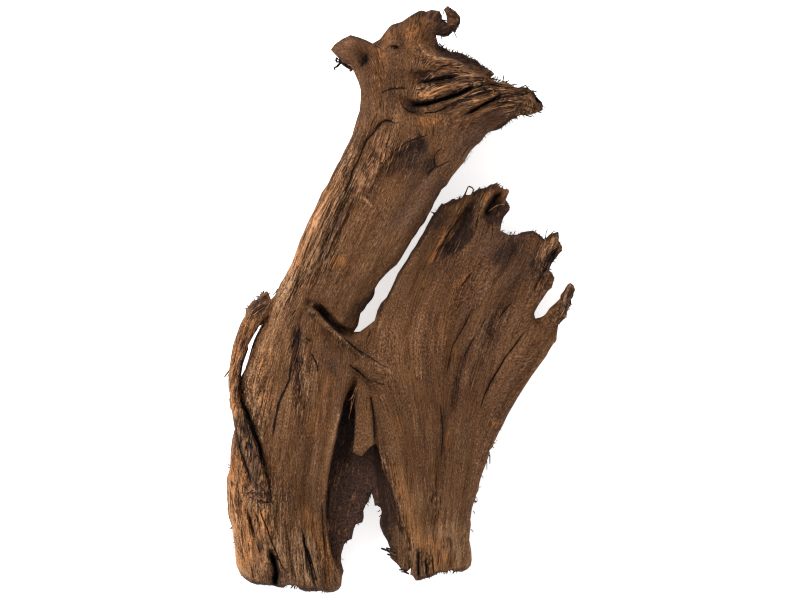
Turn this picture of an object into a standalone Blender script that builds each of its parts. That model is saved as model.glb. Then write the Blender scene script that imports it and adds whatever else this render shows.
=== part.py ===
"""Driftwood: one weathered root, forked below the neck, lying on three low points.

The model lies as it is seen from above: head at +Y, feet at -Y, the fan on the +X side. Plan
outlines are in outline units (pixels of the 800 x 600 photograph, x to the right and y down), and
heights and depths are in millimetres. Each limb is a flat blank cut to its outline, whose two
faces are then moved to their heights. The limbs are fused into the one solid that the root is.
"""

import bmesh
import bpy
import numpy as np

LENGTH = 0.382
OUTLINE_LENGTH = 587.0
UNIT = LENGTH / OUTLINE_LENGTH
MIDDLE_X = 401.0
MIDDLE_Y = 300.0
MM = 0.001

BLANK_THICKNESS = 0.012
BLANK_VOXEL = 0.0016
FUSE_VOXEL = 0.0011
TRIANGLES = 11400
GROUND = 0.0
EDGE_LEFT = 0.16

# Outlines. The neck's lower end lies hidden under the lip of the lobe.
TRUNK = [
    (271, 301), (278, 289), (290, 270), (300, 243), (311, 219), (322, 196), (337, 168), (350, 141),
    (357, 120), (361, 100), (360, 86), (354, 70), (342, 61), (331, 50), (334, 44), (347, 37),
    (356, 35), (374, 43), (386, 32), (400, 22), (418, 12), (430, 10), (438, 11), (441, 19),
    (448, 22), (444, 10), (449, 7), (459, 16), (460, 23), (455, 33), (444, 35), (436, 33),
    (436, 42), (447, 49), (464, 53), (484, 67), (496, 76), (490, 79), (507, 82), (519, 87),
    (531, 89), (543, 103), (541, 111), (525, 114), (503, 127), (485, 135), (471, 150), (457, 170),
    (444, 187), (433, 205), (425, 222), (410, 241), (400, 261), (383, 277), (374, 296), (362, 312),
    (355, 332), (335, 360), (300, 365), (275, 345),
]
SHEET = [
    (264, 318), (271, 301), (282, 286), (296, 263), (306, 268), (304, 290), (306, 306), (318, 309),
    (325, 317), (335, 327), (345, 334), (357, 332), (363, 328), (374, 321), (377, 311), (385, 299),
    (394, 284), (402, 269), (410, 256), (420, 241), (429, 221), (436, 211), (443, 204), (450, 201),
    (463, 196), (478, 189), (491, 184), (501, 187), (509, 190), (505, 200), (510, 206), (501, 224),
    (502, 232), (515, 234), (531, 230), (545, 240), (551, 233), (559, 233), (562, 247), (547, 271),
    (555, 279), (549, 290), (535, 310), (538, 321), (547, 313), (560, 299), (565, 289), (571, 283),
    (575, 290), (567, 312), (558, 325), (557, 339), (540, 365), (520, 395), (505, 420), (491, 450),
    (480, 481), (472, 512), (470, 540), (471, 567), (459, 573), (442, 572), (430, 578), (417, 581),
    (411, 562), (411, 548), (402, 520), (393, 495), (386, 474), (379, 450), (376, 441), (366, 452),
    (353, 451), (356, 380), (348, 392), (341, 418), (334, 450), (327, 490), (328, 530), (336, 568),
    (341, 587), (323, 594), (305, 592), (286, 587), (263, 586), (247, 582), (240, 575), (235, 556),
    (232, 525), (228, 508), (227, 480), (231, 455), (235, 425), (242, 400), (243, 379), (248, 367),
    (252, 354), (258, 341), (264, 324),
]
STRAP = [
    (247, 309), (256, 300), (265, 291), (270, 293), (271, 301), (276, 312), (262, 322), (258, 328),
    (252, 341), (248, 352), (242, 369), (240, 379), (241, 390), (246, 410), (253, 427), (258, 442),
    (262, 457), (268, 485), (272, 500), (260, 502), (253, 490), (246, 463), (238, 440), (232, 425),
    (230, 398), (229, 378), (231, 362), (235, 343), (243, 320),
]
BACK = [
    (355, 378), (374, 392), (388, 440), (398, 480), (412, 530), (416, 566), (409, 573), (402, 569),
    (391, 558), (390, 546), (382, 530), (380, 518), (381, 508), (374, 504), (373, 491), (370, 493),
    (364, 511), (362, 523), (354, 528), (351, 541), (342, 552), (341, 587), (325, 588), (318, 560),
    (314, 520), (318, 480), (325, 440), (340, 400),
]

# The root's form: outline point, height of the upper face and of the lower face.
FORM = [
    (333, 50, 46, 26), (350, 48, 52, 26), (385, 42, 56, 26), (415, 22, 57, 32), (445, 18, 58, 38),
    (400, 70, 62, 22), (372, 95, 58, 20), (430, 62, 58, 24), (462, 76, 56, 26), (490, 95, 50, 24),
    (515, 98, 44, 22), (540, 104, 36, 20), (430, 112, 66, 20), (485, 125, 52, 26),
    (370, 135, 66, 24), (400, 140, 72, 22), (435, 150, 66, 24), (468, 145, 56, 30),
    (340, 172, 64, 32), (370, 185, 74, 26), (410, 190, 72, 28), (445, 182, 60, 34),
    (315, 222, 66, 34), (345, 230, 78, 28), (385, 235, 74, 30), (414, 232, 62, 36),
    (292, 268, 68, 36), (320, 275, 80, 30), (350, 280, 77, 30), (382, 272, 66, 38),
    (272, 303, 66, 38), (262, 330, 70, 36), (290, 330, 79, 32), (320, 345, 83, 32),
    (250, 385, 66, 36), (280, 390, 78, 32), (315, 400, 80, 34), (345, 390, 76, 40),
    (238, 440, 52, 30), (270, 450, 70, 30), (305, 460, 72, 34), (332, 465, 64, 42),
    (232, 510, 38, 20), (270, 515, 56, 16), (305, 520, 58, 22), (328, 530, 48, 28),
    (242, 568, 26, 2), (275, 572, 38, -5), (310, 576, 38, -1), (337, 578, 30, 8),
    (356, 340, 70, 42), (375, 372, 74, 40), (400, 320, 60, 42), (425, 380, 67, 42),
    (440, 300, 56, 38), (470, 350, 58, 38), (425, 255, 50, 38), (455, 215, 44, 34),
    (490, 198, 40, 30), (497, 240, 46, 32), (530, 248, 40, 28), (558, 238, 32, 24),
    (530, 290, 44, 28), (512, 330, 48, 28), (552, 330, 32, 20), (572, 288, 28, 20),
    (495, 400, 50, 32), (450, 430, 60, 38), (400, 430, 64, 44), (366, 420, 70, 54),
    (485, 470, 40, 28), (440, 490, 50, 30), (405, 500, 48, 36), (460, 565, 26, 10),
    (425, 572, 28, 12),
]
BACK_FORM = [
    (358, 385, 54, 36), (340, 430, 44, 32), (365, 440, 48, 34), (330, 490, 36, 26),
    (360, 485, 38, 28), (390, 480, 40, 30), (400, 540, 30, 16), (395, 565, 24, 12),
    (345, 540, 28, 18), (330, 585, 22, 8),
]

# Relief: height (+) or depth (-), half width in outline units, and the line that it follows.
LONG_RELIEF = [
    (3.0, 9, [(345, 165), (320, 215), (300, 255), (284, 300), (270, 350), (258, 400)]),
    (-4.5, 6, [(352, 192), (340, 215), (328, 240), (322, 262), (314, 285), (308, 300)]),
    (2.5, 5, [(350, 195), (360, 199), (368, 204), (374, 214)]),
    (-3.0, 4, [(400, 122), (380, 124), (366, 141), (354, 169), (341, 205)]),
    (-4.0, 8, [(430, 142), (400, 160), (385, 185)]),
    (2.5, 8, [(455, 150), (430, 190), (400, 235), (372, 275)]),
    (-11.0, 5, [(398, 98), (415, 104), (430, 103), (445, 99), (460, 94), (476, 87)]),
    (-8.0, 8, [(405, 78), (430, 75), (460, 76)]),
    (3.5, 5, [(404, 90), (435, 86), (470, 84)]),
    (-6.0, 4, [(446, 42), (462, 56), (478, 68)]),
    (-5.0, 4, [(462, 114), (480, 107), (505, 97)]),
    (-5.0, 4, [(470, 70), (500, 88), (530, 98)]),
    (-5.0, 5, [(366, 50), (366, 62), (358, 66)]),
    (-6.0, 3, [(292, 365), (289, 382), (281, 400), (276, 417), (273, 438)]),
    (-3.0, 6, [(297, 318), (298, 360), (302, 420)]),
    (-2.5, 6, [(312, 420), (306, 470), (300, 520)]),
    (2.0, 7, [(290, 440), (286, 500), (284, 560)]),
    (-9.0, 5, [(268, 548), (276, 565), (274, 586)]),
    (-6.0, 4, [(302, 525), (308, 555), (317, 586)]),
    (-4.0, 4, [(247, 505), (252, 528), (260, 548)]),
    (-5.0, 2.5, [(370, 386), (374, 412), (377, 440)]),
    (-5.0, 2.5, [(527, 330), (512, 349), (494, 377), (484, 398)]),
    (-3.0, 5, [(480, 262), (462, 292), (448, 350), (444, 420)]),
    (2.5, 7, [(500, 260), (480, 320), (462, 390), (452, 470), (450, 550)]),
    (-3.0, 5, [(530, 260), (505, 305), (480, 350), (466, 400)]),
    (-5.0, 5, [(497, 190), (494, 208), (486, 220)]),
    (-3.0, 5, [(440, 450), (437, 500), (432, 560)]),
    (-4.0, 3, [(556, 250), (546, 265), (538, 282)]),
    (-4.0, 3, [(419, 545), (420, 575)]),
    (-3.0, 9, [(470, 205), (455, 230), (435, 255)]),
]
UNDER_RELIEF = [
    (7.0, 12, [(425, 115), (400, 180), (370, 250), (345, 320)]),
    (-4.0, 9, [(365, 120), (335, 190), (305, 255)]),
    (7.0, 14, [(300, 340), (290, 420), (285, 500)]),
    (-4.0, 8, [(325, 360), (320, 440), (312, 510)]),
    (5.0, 9, [(450, 230), (435, 320), (425, 420), (420, 500)]),
    (5.0, 10, [(520, 260), (490, 340), (465, 440)]),
    (-5.0, 8, [(485, 220), (465, 320), (450, 420), (445, 540)]),
    (5.0, 6, [(470, 85), (500, 95), (530, 102)]),
]
# Broken side roots that reach down to the ground.
KNUCKLES = [
    (-26.0, 15, [(368, 84), (382, 95), (400, 103)]),
    (-38.0, 14, [(512, 318), (526, 326), (534, 334)]),
]
# Where the trunk dives under the lip of the lobe.
DIVE = (-13.0, 13, [(312, 303), (325, 312), (336, 322), (348, 330)])
# The lip runs on over the fan as a step: the lobe's side is up, the fan's side is down.
STEP = (5.0, 12, [(340, 331), (355, 344), (370, 356), (385, 366), (402, 377)])


def to_metres(points):
    """Turn outline points into metres in plan."""
    points = np.asarray(points, dtype=float)
    return np.column_stack(((points[:, 0] - MIDDLE_X) * UNIT, (MIDDLE_Y - points[:, 1]) * UNIT))


def height_field(form, column):
    """Make a thin-plate surface through one column of a form list."""
    places = to_metres([row[:2] for row in form])
    heights = np.array([row[column] for row in form], dtype=float) * MM

    def kernel(a, b):
        gap = np.linalg.norm(a[:, None, :] - b[None, :, :], axis=2)
        return gap**2 * np.log(gap + 1e-9)

    count = len(places)
    system = np.zeros((count + 3, count + 3))
    system[:count, :count] = kernel(places, places)
    system[:count, count] = 1.0
    system[:count, count + 1:] = places
    system[count:, :count] = system[:count, count:].T
    weights = np.linalg.solve(system, np.concatenate((heights, np.zeros(3))))

    def field(plan):
        flat = weights[count] + plan @ weights[count + 1:]
        return flat + kernel(plan, places) @ weights[:count]

    return field


def follow_line(plan, line, closed=False):
    """Give each point's distance from a line, its signed side of it and how far along it is."""
    corners = to_metres(line)
    if closed:
        corners = np.vstack((corners, corners[:1]))
    nearest = np.full(len(plan), 1e9)
    side = np.zeros(len(plan))
    along = np.zeros(len(plan))
    steps = np.linalg.norm(np.diff(corners, axis=0), axis=1)
    passed = 0.0
    for start, end, step in zip(corners[:-1], corners[1:], steps):
        run = (end - start) / step
        offset = plan - start
        travel = np.clip(offset @ run, 0.0, step)
        gap = np.linalg.norm(offset - travel[:, None] * run, axis=1)
        closer = gap < nearest
        nearest[closer] = gap[closer]
        side[closer] = (run[0] * offset[:, 1] - run[1] * offset[:, 0])[closer]
        along[closer] = (passed + travel[closer]) / steps.sum()
        passed += step
    return nearest, side, along


def relief(plan, strokes):
    """Add up the ridges and grooves of a list, each faded out at its two ends."""
    total = np.zeros(len(plan))
    for height, half_width, line in strokes:
        gap, _, along = follow_line(plan, line)
        ends = np.clip(np.minimum(along, 1.0 - along) / 0.2, 0.25, 1.0)
        total += height * MM * ends * np.exp(-(gap / (half_width * UNIT))**2)
    return total


def lip_step(plan):
    """Lift the lobe's side of the step and lower the fan's side."""
    height, reach, line = STEP
    gap, side, along = follow_line(plan, line)
    ends = np.clip((1.0 - along) / 0.6, 0.0, 1.0) * np.clip(along / 0.1, 0.0, 1.0)
    return -np.tanh(side / (1.5 * UNIT)) * height * MM * ends * np.exp(-gap / (reach * UNIT))


def blank(name, outline, collection):
    """Cut a flat blank to an outline and give it an even mesh."""
    curve = bpy.data.curves.new(name, "CURVE")
    curve.dimensions = "2D"
    curve.fill_mode = "BOTH"
    curve.extrude = BLANK_THICKNESS / 2
    spline = curve.splines.new("POLY")
    points = to_metres(outline)
    spline.points.add(len(points) - 1)
    for point, (x, y) in zip(spline.points, points):
        point.co = (x, y, 0.0, 1.0)
    spline.use_cyclic_u = True
    flat = bpy.data.objects.new(name + "_outline", curve)
    collection.objects.link(flat)
    piece = bpy.data.objects.new(name, evaluated_mesh(flat))
    collection.objects.link(piece)
    bpy.data.objects.remove(flat)
    weld(piece.data)
    remesh(piece, BLANK_VOXEL)
    return piece


def evaluated_mesh(piece):
    """Return a new mesh of an object as its modifiers leave it."""
    depsgraph = bpy.context.evaluated_depsgraph_get()
    return bpy.data.meshes.new_from_object(piece.evaluated_get(depsgraph))


def weld(mesh):
    """Merge the doubled points of a mesh."""
    shape = bmesh.new()
    shape.from_mesh(mesh)
    bmesh.ops.remove_doubles(shape, verts=shape.verts, dist=1e-6)
    bmesh.ops.recalc_face_normals(shape, faces=shape.faces)
    shape.to_mesh(mesh)
    shape.free()


def apply_modifiers(piece):
    """Put an object's evaluated mesh in place of its own."""
    mesh = evaluated_mesh(piece)
    piece.modifiers.clear()
    piece.data = mesh


def remesh(piece, voxel):
    """Rebuild a piece's mesh on an even grid, which also fuses what overlaps in it."""
    grid = piece.modifiers.new("Grid", "REMESH")
    grid.mode = "VOXEL"
    grid.voxel_size = voxel
    apply_modifiers(piece)


def points_of(piece):
    """Read a piece's points as an array."""
    points = np.empty(len(piece.data.vertices) * 3)
    piece.data.vertices.foreach_get("co", points)
    return points.reshape(-1, 3)


def move_points(piece, points):
    """Write a piece's points back from an array."""
    piece.data.vertices.foreach_set("co", points.ravel())
    piece.data.update()


def shape_limb(piece, outline, upper, lower, edge_radius):
    """Move a blank's two faces to their heights, with the edge worn round."""
    points = points_of(piece)
    plan = points[:, :2]
    gap, _, _ = follow_line(plan, outline, closed=True)
    inward = np.clip(gap / (edge_radius * UNIT), 0.0, 1.0)
    fullness = EDGE_LEFT + (1.0 - EDGE_LEFT) * np.sqrt(1.0 - (1.0 - inward)**2)
    top = upper(plan)
    bottom = lower(plan)
    share = np.clip(points[:, 2] / (BLANK_THICKNESS / 2), -1.0, 1.0)
    points[:, 2] = (top + bottom) / 2 + share * fullness * np.maximum(top - bottom, 4 * MM) / 2
    move_points(piece, points)


def fuse(name, pieces, collection):
    """Join the limbs into one mesh and fuse them on a fine grid."""
    shape = bmesh.new()
    for piece in pieces:
        mesh = piece.data.copy()
        mesh.transform(piece.matrix_world)
        shape.from_mesh(mesh)
        bpy.data.meshes.remove(mesh)
        bpy.data.objects.remove(piece)
    mesh = bpy.data.meshes.new(name)
    shape.to_mesh(mesh)
    shape.free()
    whole = bpy.data.objects.new(name, mesh)
    collection.objects.link(whole)
    remesh(whole, FUSE_VOXEL)
    return whole


def thin_out(piece, triangles):
    """Bring a mesh down to a number of triangles, most of them left where it curves."""
    piece.data.calc_loop_triangles()
    fewer = piece.modifiers.new("Fewer", "DECIMATE")
    fewer.ratio = triangles / len(piece.data.loop_triangles)
    fewer.use_collapse_triangulate = True
    apply_modifiers(piece)


def flatten_rests(piece):
    """Cut the low points off level with the ground."""
    shape = bmesh.new()
    shape.from_mesh(piece.data)
    cut = bmesh.ops.bisect_plane(
        shape, geom=shape.verts[:] + shape.edges[:] + shape.faces[:], dist=1e-7,
        plane_co=(0, 0, GROUND), plane_no=(0, 0, -1), clear_outer=True)
    rim = [item for item in cut["geom_cut"] if isinstance(item, bmesh.types.BMEdge)]
    bmesh.ops.holes_fill(shape, edges=rim)
    bmesh.ops.triangulate(shape, faces=[face for face in shape.faces if len(face.verts) > 3])
    bmesh.ops.recalc_face_normals(shape, faces=shape.faces)
    shape.to_mesh(piece.data)
    shape.free()


def wood_material():
    """Weathered brown root wood, dull and dry."""
    material = bpy.data.materials.new("weathered_root_wood")
    material.use_nodes = True
    shader = material.node_tree.nodes["Principled BSDF"]
    shader.inputs["Base Color"].default_value = (0.122, 0.058, 0.030, 1.0)
    shader.inputs["Roughness"].default_value = 0.85
    shader.inputs["Metallic"].default_value = 0.0
    return material


for old in list(bpy.data.objects):
    bpy.data.objects.remove(old)
wood = bpy.data.collections.new("driftwood_wood")
bpy.context.scene.collection.children.link(wood)

upper_form = height_field(FORM, 2)
lower_form = height_field(FORM, 3)
back_upper = height_field(BACK_FORM, 2)
back_lower = height_field(BACK_FORM, 3)


def under(plan):
    """Height of the lower face."""
    return lower_form(plan) + relief(plan, UNDER_RELIEF) + relief(plan, KNUCKLES)


def sheet_top(plan):
    """Upper face of the lobe, the bridge and the fan."""
    return upper_form(plan) + relief(plan, LONG_RELIEF) + lip_step(plan)


def trunk_top(plan):
    """Upper face of the head and neck, which dives under the lobe's lip."""
    return upper_form(plan) - 1.0 * MM + relief(plan, LONG_RELIEF) + relief(plan, [DIVE])


limbs = []
for limb_name, limb_outline, upper, lower, edge_radius in (
        ("trunk", TRUNK, trunk_top, under, 22),
        ("sheet", SHEET, sheet_top, lambda plan: under(plan) + 1.0 * MM, 15),
        ("strap", STRAP, lambda plan: upper_form(plan) + 3.0 * MM,
         lambda plan: upper_form(plan) - 15.0 * MM, 8),
        ("back", BACK, back_upper, back_lower, 8)):
    limb = blank(limb_name, limb_outline, wood)
    shape_limb(limb, limb_outline, upper, lower, edge_radius)
    limbs.append(limb)

driftwood = fuse("driftwood", limbs, wood)
thin_out(driftwood, TRIANGLES)
flatten_rests(driftwood)
driftwood.data.shade_flat()
driftwood.data.materials.clear()
driftwood.data.materials.append(wood_material())
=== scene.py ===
"""Driftwood: one dry, weathered root lying on a pale floor, seen from straight above."""

import math
from functools import partial

import bmesh
import bpy
import numpy as np
from mathutils.bvhtree import BVHTree
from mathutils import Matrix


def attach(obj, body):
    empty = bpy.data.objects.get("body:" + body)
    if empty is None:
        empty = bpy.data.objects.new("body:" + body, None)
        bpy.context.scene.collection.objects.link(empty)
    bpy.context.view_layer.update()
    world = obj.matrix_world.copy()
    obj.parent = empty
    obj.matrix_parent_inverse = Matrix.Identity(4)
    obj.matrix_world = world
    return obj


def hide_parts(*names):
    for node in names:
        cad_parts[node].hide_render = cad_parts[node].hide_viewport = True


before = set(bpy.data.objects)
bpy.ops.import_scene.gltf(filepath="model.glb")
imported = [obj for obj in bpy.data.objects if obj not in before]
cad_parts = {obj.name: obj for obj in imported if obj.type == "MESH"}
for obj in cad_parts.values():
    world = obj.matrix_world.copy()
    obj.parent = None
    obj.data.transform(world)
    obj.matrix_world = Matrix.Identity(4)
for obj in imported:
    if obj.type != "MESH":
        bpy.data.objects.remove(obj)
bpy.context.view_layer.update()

# The limbs of the root, cut to their outlines: the trunk (a neck with a gnarled head), the sheet (a broad
# lobe, a bridge and a fan), the strap beside the lobe, and the inner wood behind the cavity. All of it is
# root wood that grew as one piece. Outlines are in outline units, x to the right and y down.
ROOT_LENGTH = 0.382
LENGTH_IN_UNITS = 587.0
UNIT = ROOT_LENGTH / LENGTH_IN_UNITS
MIDDLE = (401.0, 300.0)
MM = 0.001
BLANK_THICKNESS = 0.012
BLANK_GRID = 0.00085
NICK = 0.4
NICK_SPACING = 2.2

neck_left = [
    (271, 301), (273, 298), (278, 289), (282, 283), (286, 277), (290, 270), (294, 261), (297, 252),
    (300, 243), (303, 236), (307, 228), (311, 219), (315, 210), (319, 203), (322, 196), (326, 189),
    (330, 182), (333, 175), (337, 168), (340, 162), (344, 155), (347, 148), (350, 141), (353, 135),
    (355, 128), (357, 120), (360, 110), (361, 100), (361, 90), (360, 86), (358, 80), (356, 75),
    (354, 70)]
knob = [
    (351, 67), (347, 64), (342, 61), (339, 58), (335, 54), (331, 50), (332, 47), (334, 44),
    (340, 40), (347, 37), (352, 35), (356, 35.5), (360, 38), (366, 40), (371, 43), (374, 43.5),
    (380, 40)]
crown = [
    (382, 37), (386, 32), (388, 28), (390, 26), (395, 24.5), (400, 22), (405, 20), (410, 16),
    (415, 13.5), (418, 12), (421, 11), (426, 12), (430, 10), (438, 10.5), (440, 13), (442, 16),
    (441, 19), (443, 22), (447, 24), (449, 22), (447, 17), (445, 13), (444, 10), (446, 7), (449, 7),
    (452, 10), (456, 13), (459, 16), (460.5, 19), (460, 23), (458, 26), (457, 30), (455, 33),
    (453, 31), (451, 30), (450, 32), (448, 34), (444, 35), (441, 36), (438, 34), (435, 35),
    (435, 40)]
arm = [
    (438, 42), (439, 45), (442, 46), (447, 48.5), (449, 50), (450, 51.5), (455, 51), (460, 52),
    (464, 53), (466, 54), (470, 57), (475, 60), (480, 64), (484, 67), (487, 70), (491, 70.5),
    (493, 72), (496, 75), (492, 75.5), (490, 76), (490, 79), (495, 80), (499, 82), (503, 81),
    (507, 82), (510, 83), (513, 85), (515, 87), (519, 87.5), (524, 86), (528, 88), (527, 90.5),
    (531, 89), (533, 92), (536, 95), (540, 99), (543, 103), (543, 108), (541, 111), (538, 111.5),
    (535, 113), (530, 113.5), (525, 113.5), (520, 115.5), (515, 118), (510, 120), (506, 124),
    (503, 127), (500, 128.5), (496, 130), (492, 131), (488, 132.5), (485, 135), (482, 139),
    (480, 142.5), (475, 146), (471, 150)]
neck_right = [
    (465, 160), (461, 165), (457, 170), (453, 175), (450, 180), (447, 184.5), (444, 187),
    (440, 191.5), (438, 196), (435, 200), (433, 205), (431, 209), (429, 213), (427, 218),
    (425, 222), (421, 226.5), (418, 231), (414.5, 236), (410.5, 241), (408, 247), (405, 253),
    (401, 258.5), (399, 262), (396, 266), (393, 268.5), (390, 270), (386, 273), (383, 277),
    (379, 281), (376, 286), (374.5, 291), (374, 296), (371, 300), (368, 303), (365, 308),
    (362, 312), (360, 316), (359, 320), (358, 324), (356, 328), (354, 330.5), (352, 336)]
neck_hidden_end = [(335, 360), (300, 365), (275, 345)]
trunk_outline = neck_left + knob + crown + arm + neck_right + neck_hidden_end

lip = [
    (264, 318), (271, 301), (282, 286), (296, 263), (306, 268), (303, 290), (304, 302), (308, 306),
    (312, 307), (317, 309), (320, 313), (323, 318), (327, 323), (331, 327), (335, 330), (340, 333),
    (345, 335), (350, 336), (355, 333), (358, 332.5)]
fan_left = [
    (361, 331.5), (363, 329), (367, 326.5), (371, 324), (374, 321), (376, 316), (377, 311),
    (379, 306), (381, 303), (385, 299), (388, 294), (391, 289), (393, 284), (396, 278), (398, 273),
    (401, 269), (403, 265), (406, 261), (409, 256), (413, 251), (416, 246), (419, 240), (422, 236),
    (424, 231), (427, 226), (429, 221), (432, 216), (436, 211), (441, 206), (443, 204), (446, 205),
    (450, 201)]
fan_top = [
    (451, 199.5), (454, 199), (457, 200), (460, 198), (463, 196.5), (466, 195), (470, 194),
    (475, 191), (478, 189), (480, 188), (484, 188), (487, 187), (491, 184.5), (494, 184.5),
    (497, 183), (499, 185), (501, 187), (505, 189), (509, 190), (508, 193), (506, 197), (505, 200),
    (508, 203), (510, 206), (509, 210), (507, 213), (504, 217), (502, 221), (501, 224), (501, 231),
    (502, 232), (506, 233), (510, 235), (515, 234.5), (520, 234), (524, 232), (528, 232),
    (531, 230.5), (535, 231), (538, 233), (541, 235), (543, 238), (545, 240), (548, 238), (549, 235),
    (551, 233), (554, 232.5), (557, 232), (559, 233), (560, 237), (560, 241), (561, 244),
    (562.5, 247), (562, 250), (559, 254), (556, 258), (553, 262), (550, 266), (547, 271), (550, 271),
    (553, 274), (555, 279), (553, 282), (552, 287), (549, 290), (546, 294), (543, 298), (540, 302),
    (537, 306), (535, 310), (534, 314), (534.5, 318), (536, 320), (538, 321), (541, 319.5),
    (544, 317), (547, 313), (550, 309.5), (553, 306.5), (556, 303)]
finger = [
    (560, 299), (562, 293), (565, 289), (568, 284), (571, 283), (574, 285), (575.5, 290), (574, 295),
    (572, 300), (570, 306), (567, 312), (566, 317), (562, 321), (560, 323), (558, 325), (558, 335)]
fan_right = [
    (557.5, 339), (555, 343), (552, 347), (549, 352), (545, 358), (540, 365), (535, 372), (530, 380),
    (525, 387), (520, 395), (515, 402), (510, 411), (505, 420), (500, 430), (496, 440), (491, 450),
    (489, 456), (487, 462), (484, 470), (480, 481), (478, 490), (476, 498), (474, 505), (472, 512),
    (471, 520), (470.5, 530), (470, 540), (471, 547), (472, 553), (472, 560), (471, 567)]
fan_foot = [
    (468, 570), (465, 572), (459, 573.5), (453, 572), (445, 572), (442, 572.5), (440, 574),
    (437, 575), (434, 577), (430, 578.5), (426, 579), (423, 580.5), (420, 582), (417, 581),
    (414, 579), (411, 575), (412, 570), (411, 562), (410, 555), (411, 548), (411, 540), (409, 535),
    (407, 530), (404, 528), (402, 528), (401, 520), (401, 515), (399, 509), (396, 502), (393, 495),
    (390, 487), (388, 480), (386, 474), (383, 467), (382, 460), (379, 450), (376, 442)]
cavity = [
    (374, 443), (370, 447), (366, 452), (362, 456), (358, 454), (352, 452), (353, 450), (354, 440),
    (355, 425), (355.5, 395), (356, 380), (352, 385), (348, 392), (345, 400), (343, 408), (341, 418),
    (339, 428), (336, 440), (334, 450), (332, 460), (330, 470), (328, 480), (327, 490), (326, 500),
    (326, 510), (327, 520), (328, 530), (328, 540), (330, 550), (333, 560), (336, 568), (340, 578)]
lobe_foot = [
    (341, 587), (338, 590), (334, 592), (329, 594), (323, 593), (321, 591), (316, 592),
    (310, 591.5), (305, 592), (302, 591), (299, 589), (296, 586.5), (292, 586), (286, 587),
    (280, 587.5), (275, 588), (270, 587), (263, 586), (257, 586), (252, 585), (247, 582),
    (243, 578), (240, 577), (240, 574)]
lobe_left = [
    (238, 570), (236, 563), (235, 556), (235, 548), (234, 540), (233, 532), (232, 525), (231, 521),
    (229, 520), (229, 515), (228, 508), (228, 497), (227, 488), (227, 480), (228, 474), (230, 468),
    (231, 460), (232, 452), (232, 445), (233, 435), (235, 425), (238, 410), (241, 395), (242, 379),
    (243.6, 373), (246.6, 363.5), (248.4, 357), (250.6, 351), (253.2, 343), (255.6, 337), (258.6, 331),
    (263, 325)]
sheet_outline = (lip + fan_left + fan_top + finger + fan_right + fan_foot + cavity + lobe_foot
                 + lobe_left)

strap_outline = [
    (232, 358), (234, 350), (235, 343), (237, 336), (240, 328), (243, 320), (246, 313), (247, 309),
    (250, 307), (252, 303), (256, 300), (260, 297), (263, 293), (265, 291), (268, 291), (270, 293),
    (270.5, 299), (272, 306), (270, 314), (263.5, 320.5), (259.5, 326), (255.8, 332), (252.3, 338),
    (250, 343), (247.5, 350), (245.8, 356), (244, 363), (242, 369), (240.6, 375), (240.4, 381),
    (241, 390), (242, 400), (246, 410), (250, 420), (253, 427), (256, 434), (258, 442), (260, 450),
    (262, 457), (264, 465), (265, 475), (268, 485), (270, 492), (272, 500), (268, 499), (265, 502),
    (262, 498), (259, 501), (256, 495), (253, 497), (254, 490), (251, 480), (249, 472), (246, 463),
    (243, 455), (240, 445), (237, 437), (235, 427), (233, 415), (231, 405), (230, 398), (229, 388),
    (229, 378), (230, 370), (231, 362)]
back_outline = [
    (355, 378), (372, 392), (385, 440), (396, 480), (408, 520), (413, 560), (409, 573), (405, 571),
    (402, 569.5), (399, 566), (396, 564), (393, 561), (390, 558), (391, 555), (391, 550), (390, 546),
    (387, 541), (384, 535), (382, 530), (380, 527), (379.5, 523), (380, 518), (382, 512), (381, 508),
    (378, 506), (375, 507), (374, 504), (374, 498), (373, 491), (370.5, 492), (369, 497), (368, 502),
    (365, 507), (364, 511), (364, 515), (363, 520), (362, 523), (358, 523), (356, 525), (354, 528),
    (353, 533), (352, 538), (351, 541), (350, 538), (347, 542), (344, 547), (342, 552), (341, 556),
    (341, 562), (342, 568), (343, 572), (342, 577), (342, 582), (341, 587), (330, 588), (320, 560),
    (315, 520), (318, 480), (325, 440), (340, 400)]


def to_plan(points):
    """Turn outline points into metres in plan."""
    points = np.asarray(points, dtype=float)
    return np.column_stack(((points[:, 0] - MIDDLE[0]) * UNIT, (MIDDLE[1] - points[:, 1]) * UNIT))


def roughen(outline, seed):
    """Add small nicks between an outline's points, as broken and worn wood has."""
    random = np.random.RandomState(seed)
    rough = []
    for (x, y), (next_x, next_y) in zip(outline, outline[1:] + outline[:1]):
        run = math.hypot(next_x - x, next_y - y)
        rough.append((x, y))
        count = int(run / NICK_SPACING)
        for step in range(1, count):
            nick = random.normal(0.0, NICK)
            share = step / count
            rough.append((x + (next_x - x) * share + (y - next_y) / run * nick,
                          y + (next_y - y) * share + (next_x - x) / run * nick))
    return rough


def link_object(name, data):
    """Make an object and put it in the scene."""
    thing = bpy.data.objects.new(name, data)
    bpy.context.scene.collection.objects.link(thing)
    return thing


def new_piece(name, shape):
    """Make an object of a bmesh."""
    mesh = bpy.data.meshes.new(name)
    shape.to_mesh(mesh)
    shape.free()
    return link_object(name, mesh)


def bake_modifiers(piece):
    """Put a piece's finished mesh in place of its own."""
    depsgraph = bpy.context.evaluated_depsgraph_get()
    mesh = bpy.data.meshes.new_from_object(piece.evaluated_get(depsgraph))
    piece.modifiers.clear()
    piece.data = mesh


def even_grid(piece, voxel):
    """Rebuild a piece's mesh on an even grid, which also fuses what overlaps in it."""
    grid = piece.modifiers.new("Grid", "REMESH")
    grid.mode = "VOXEL"
    grid.voxel_size = voxel
    bake_modifiers(piece)


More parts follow.
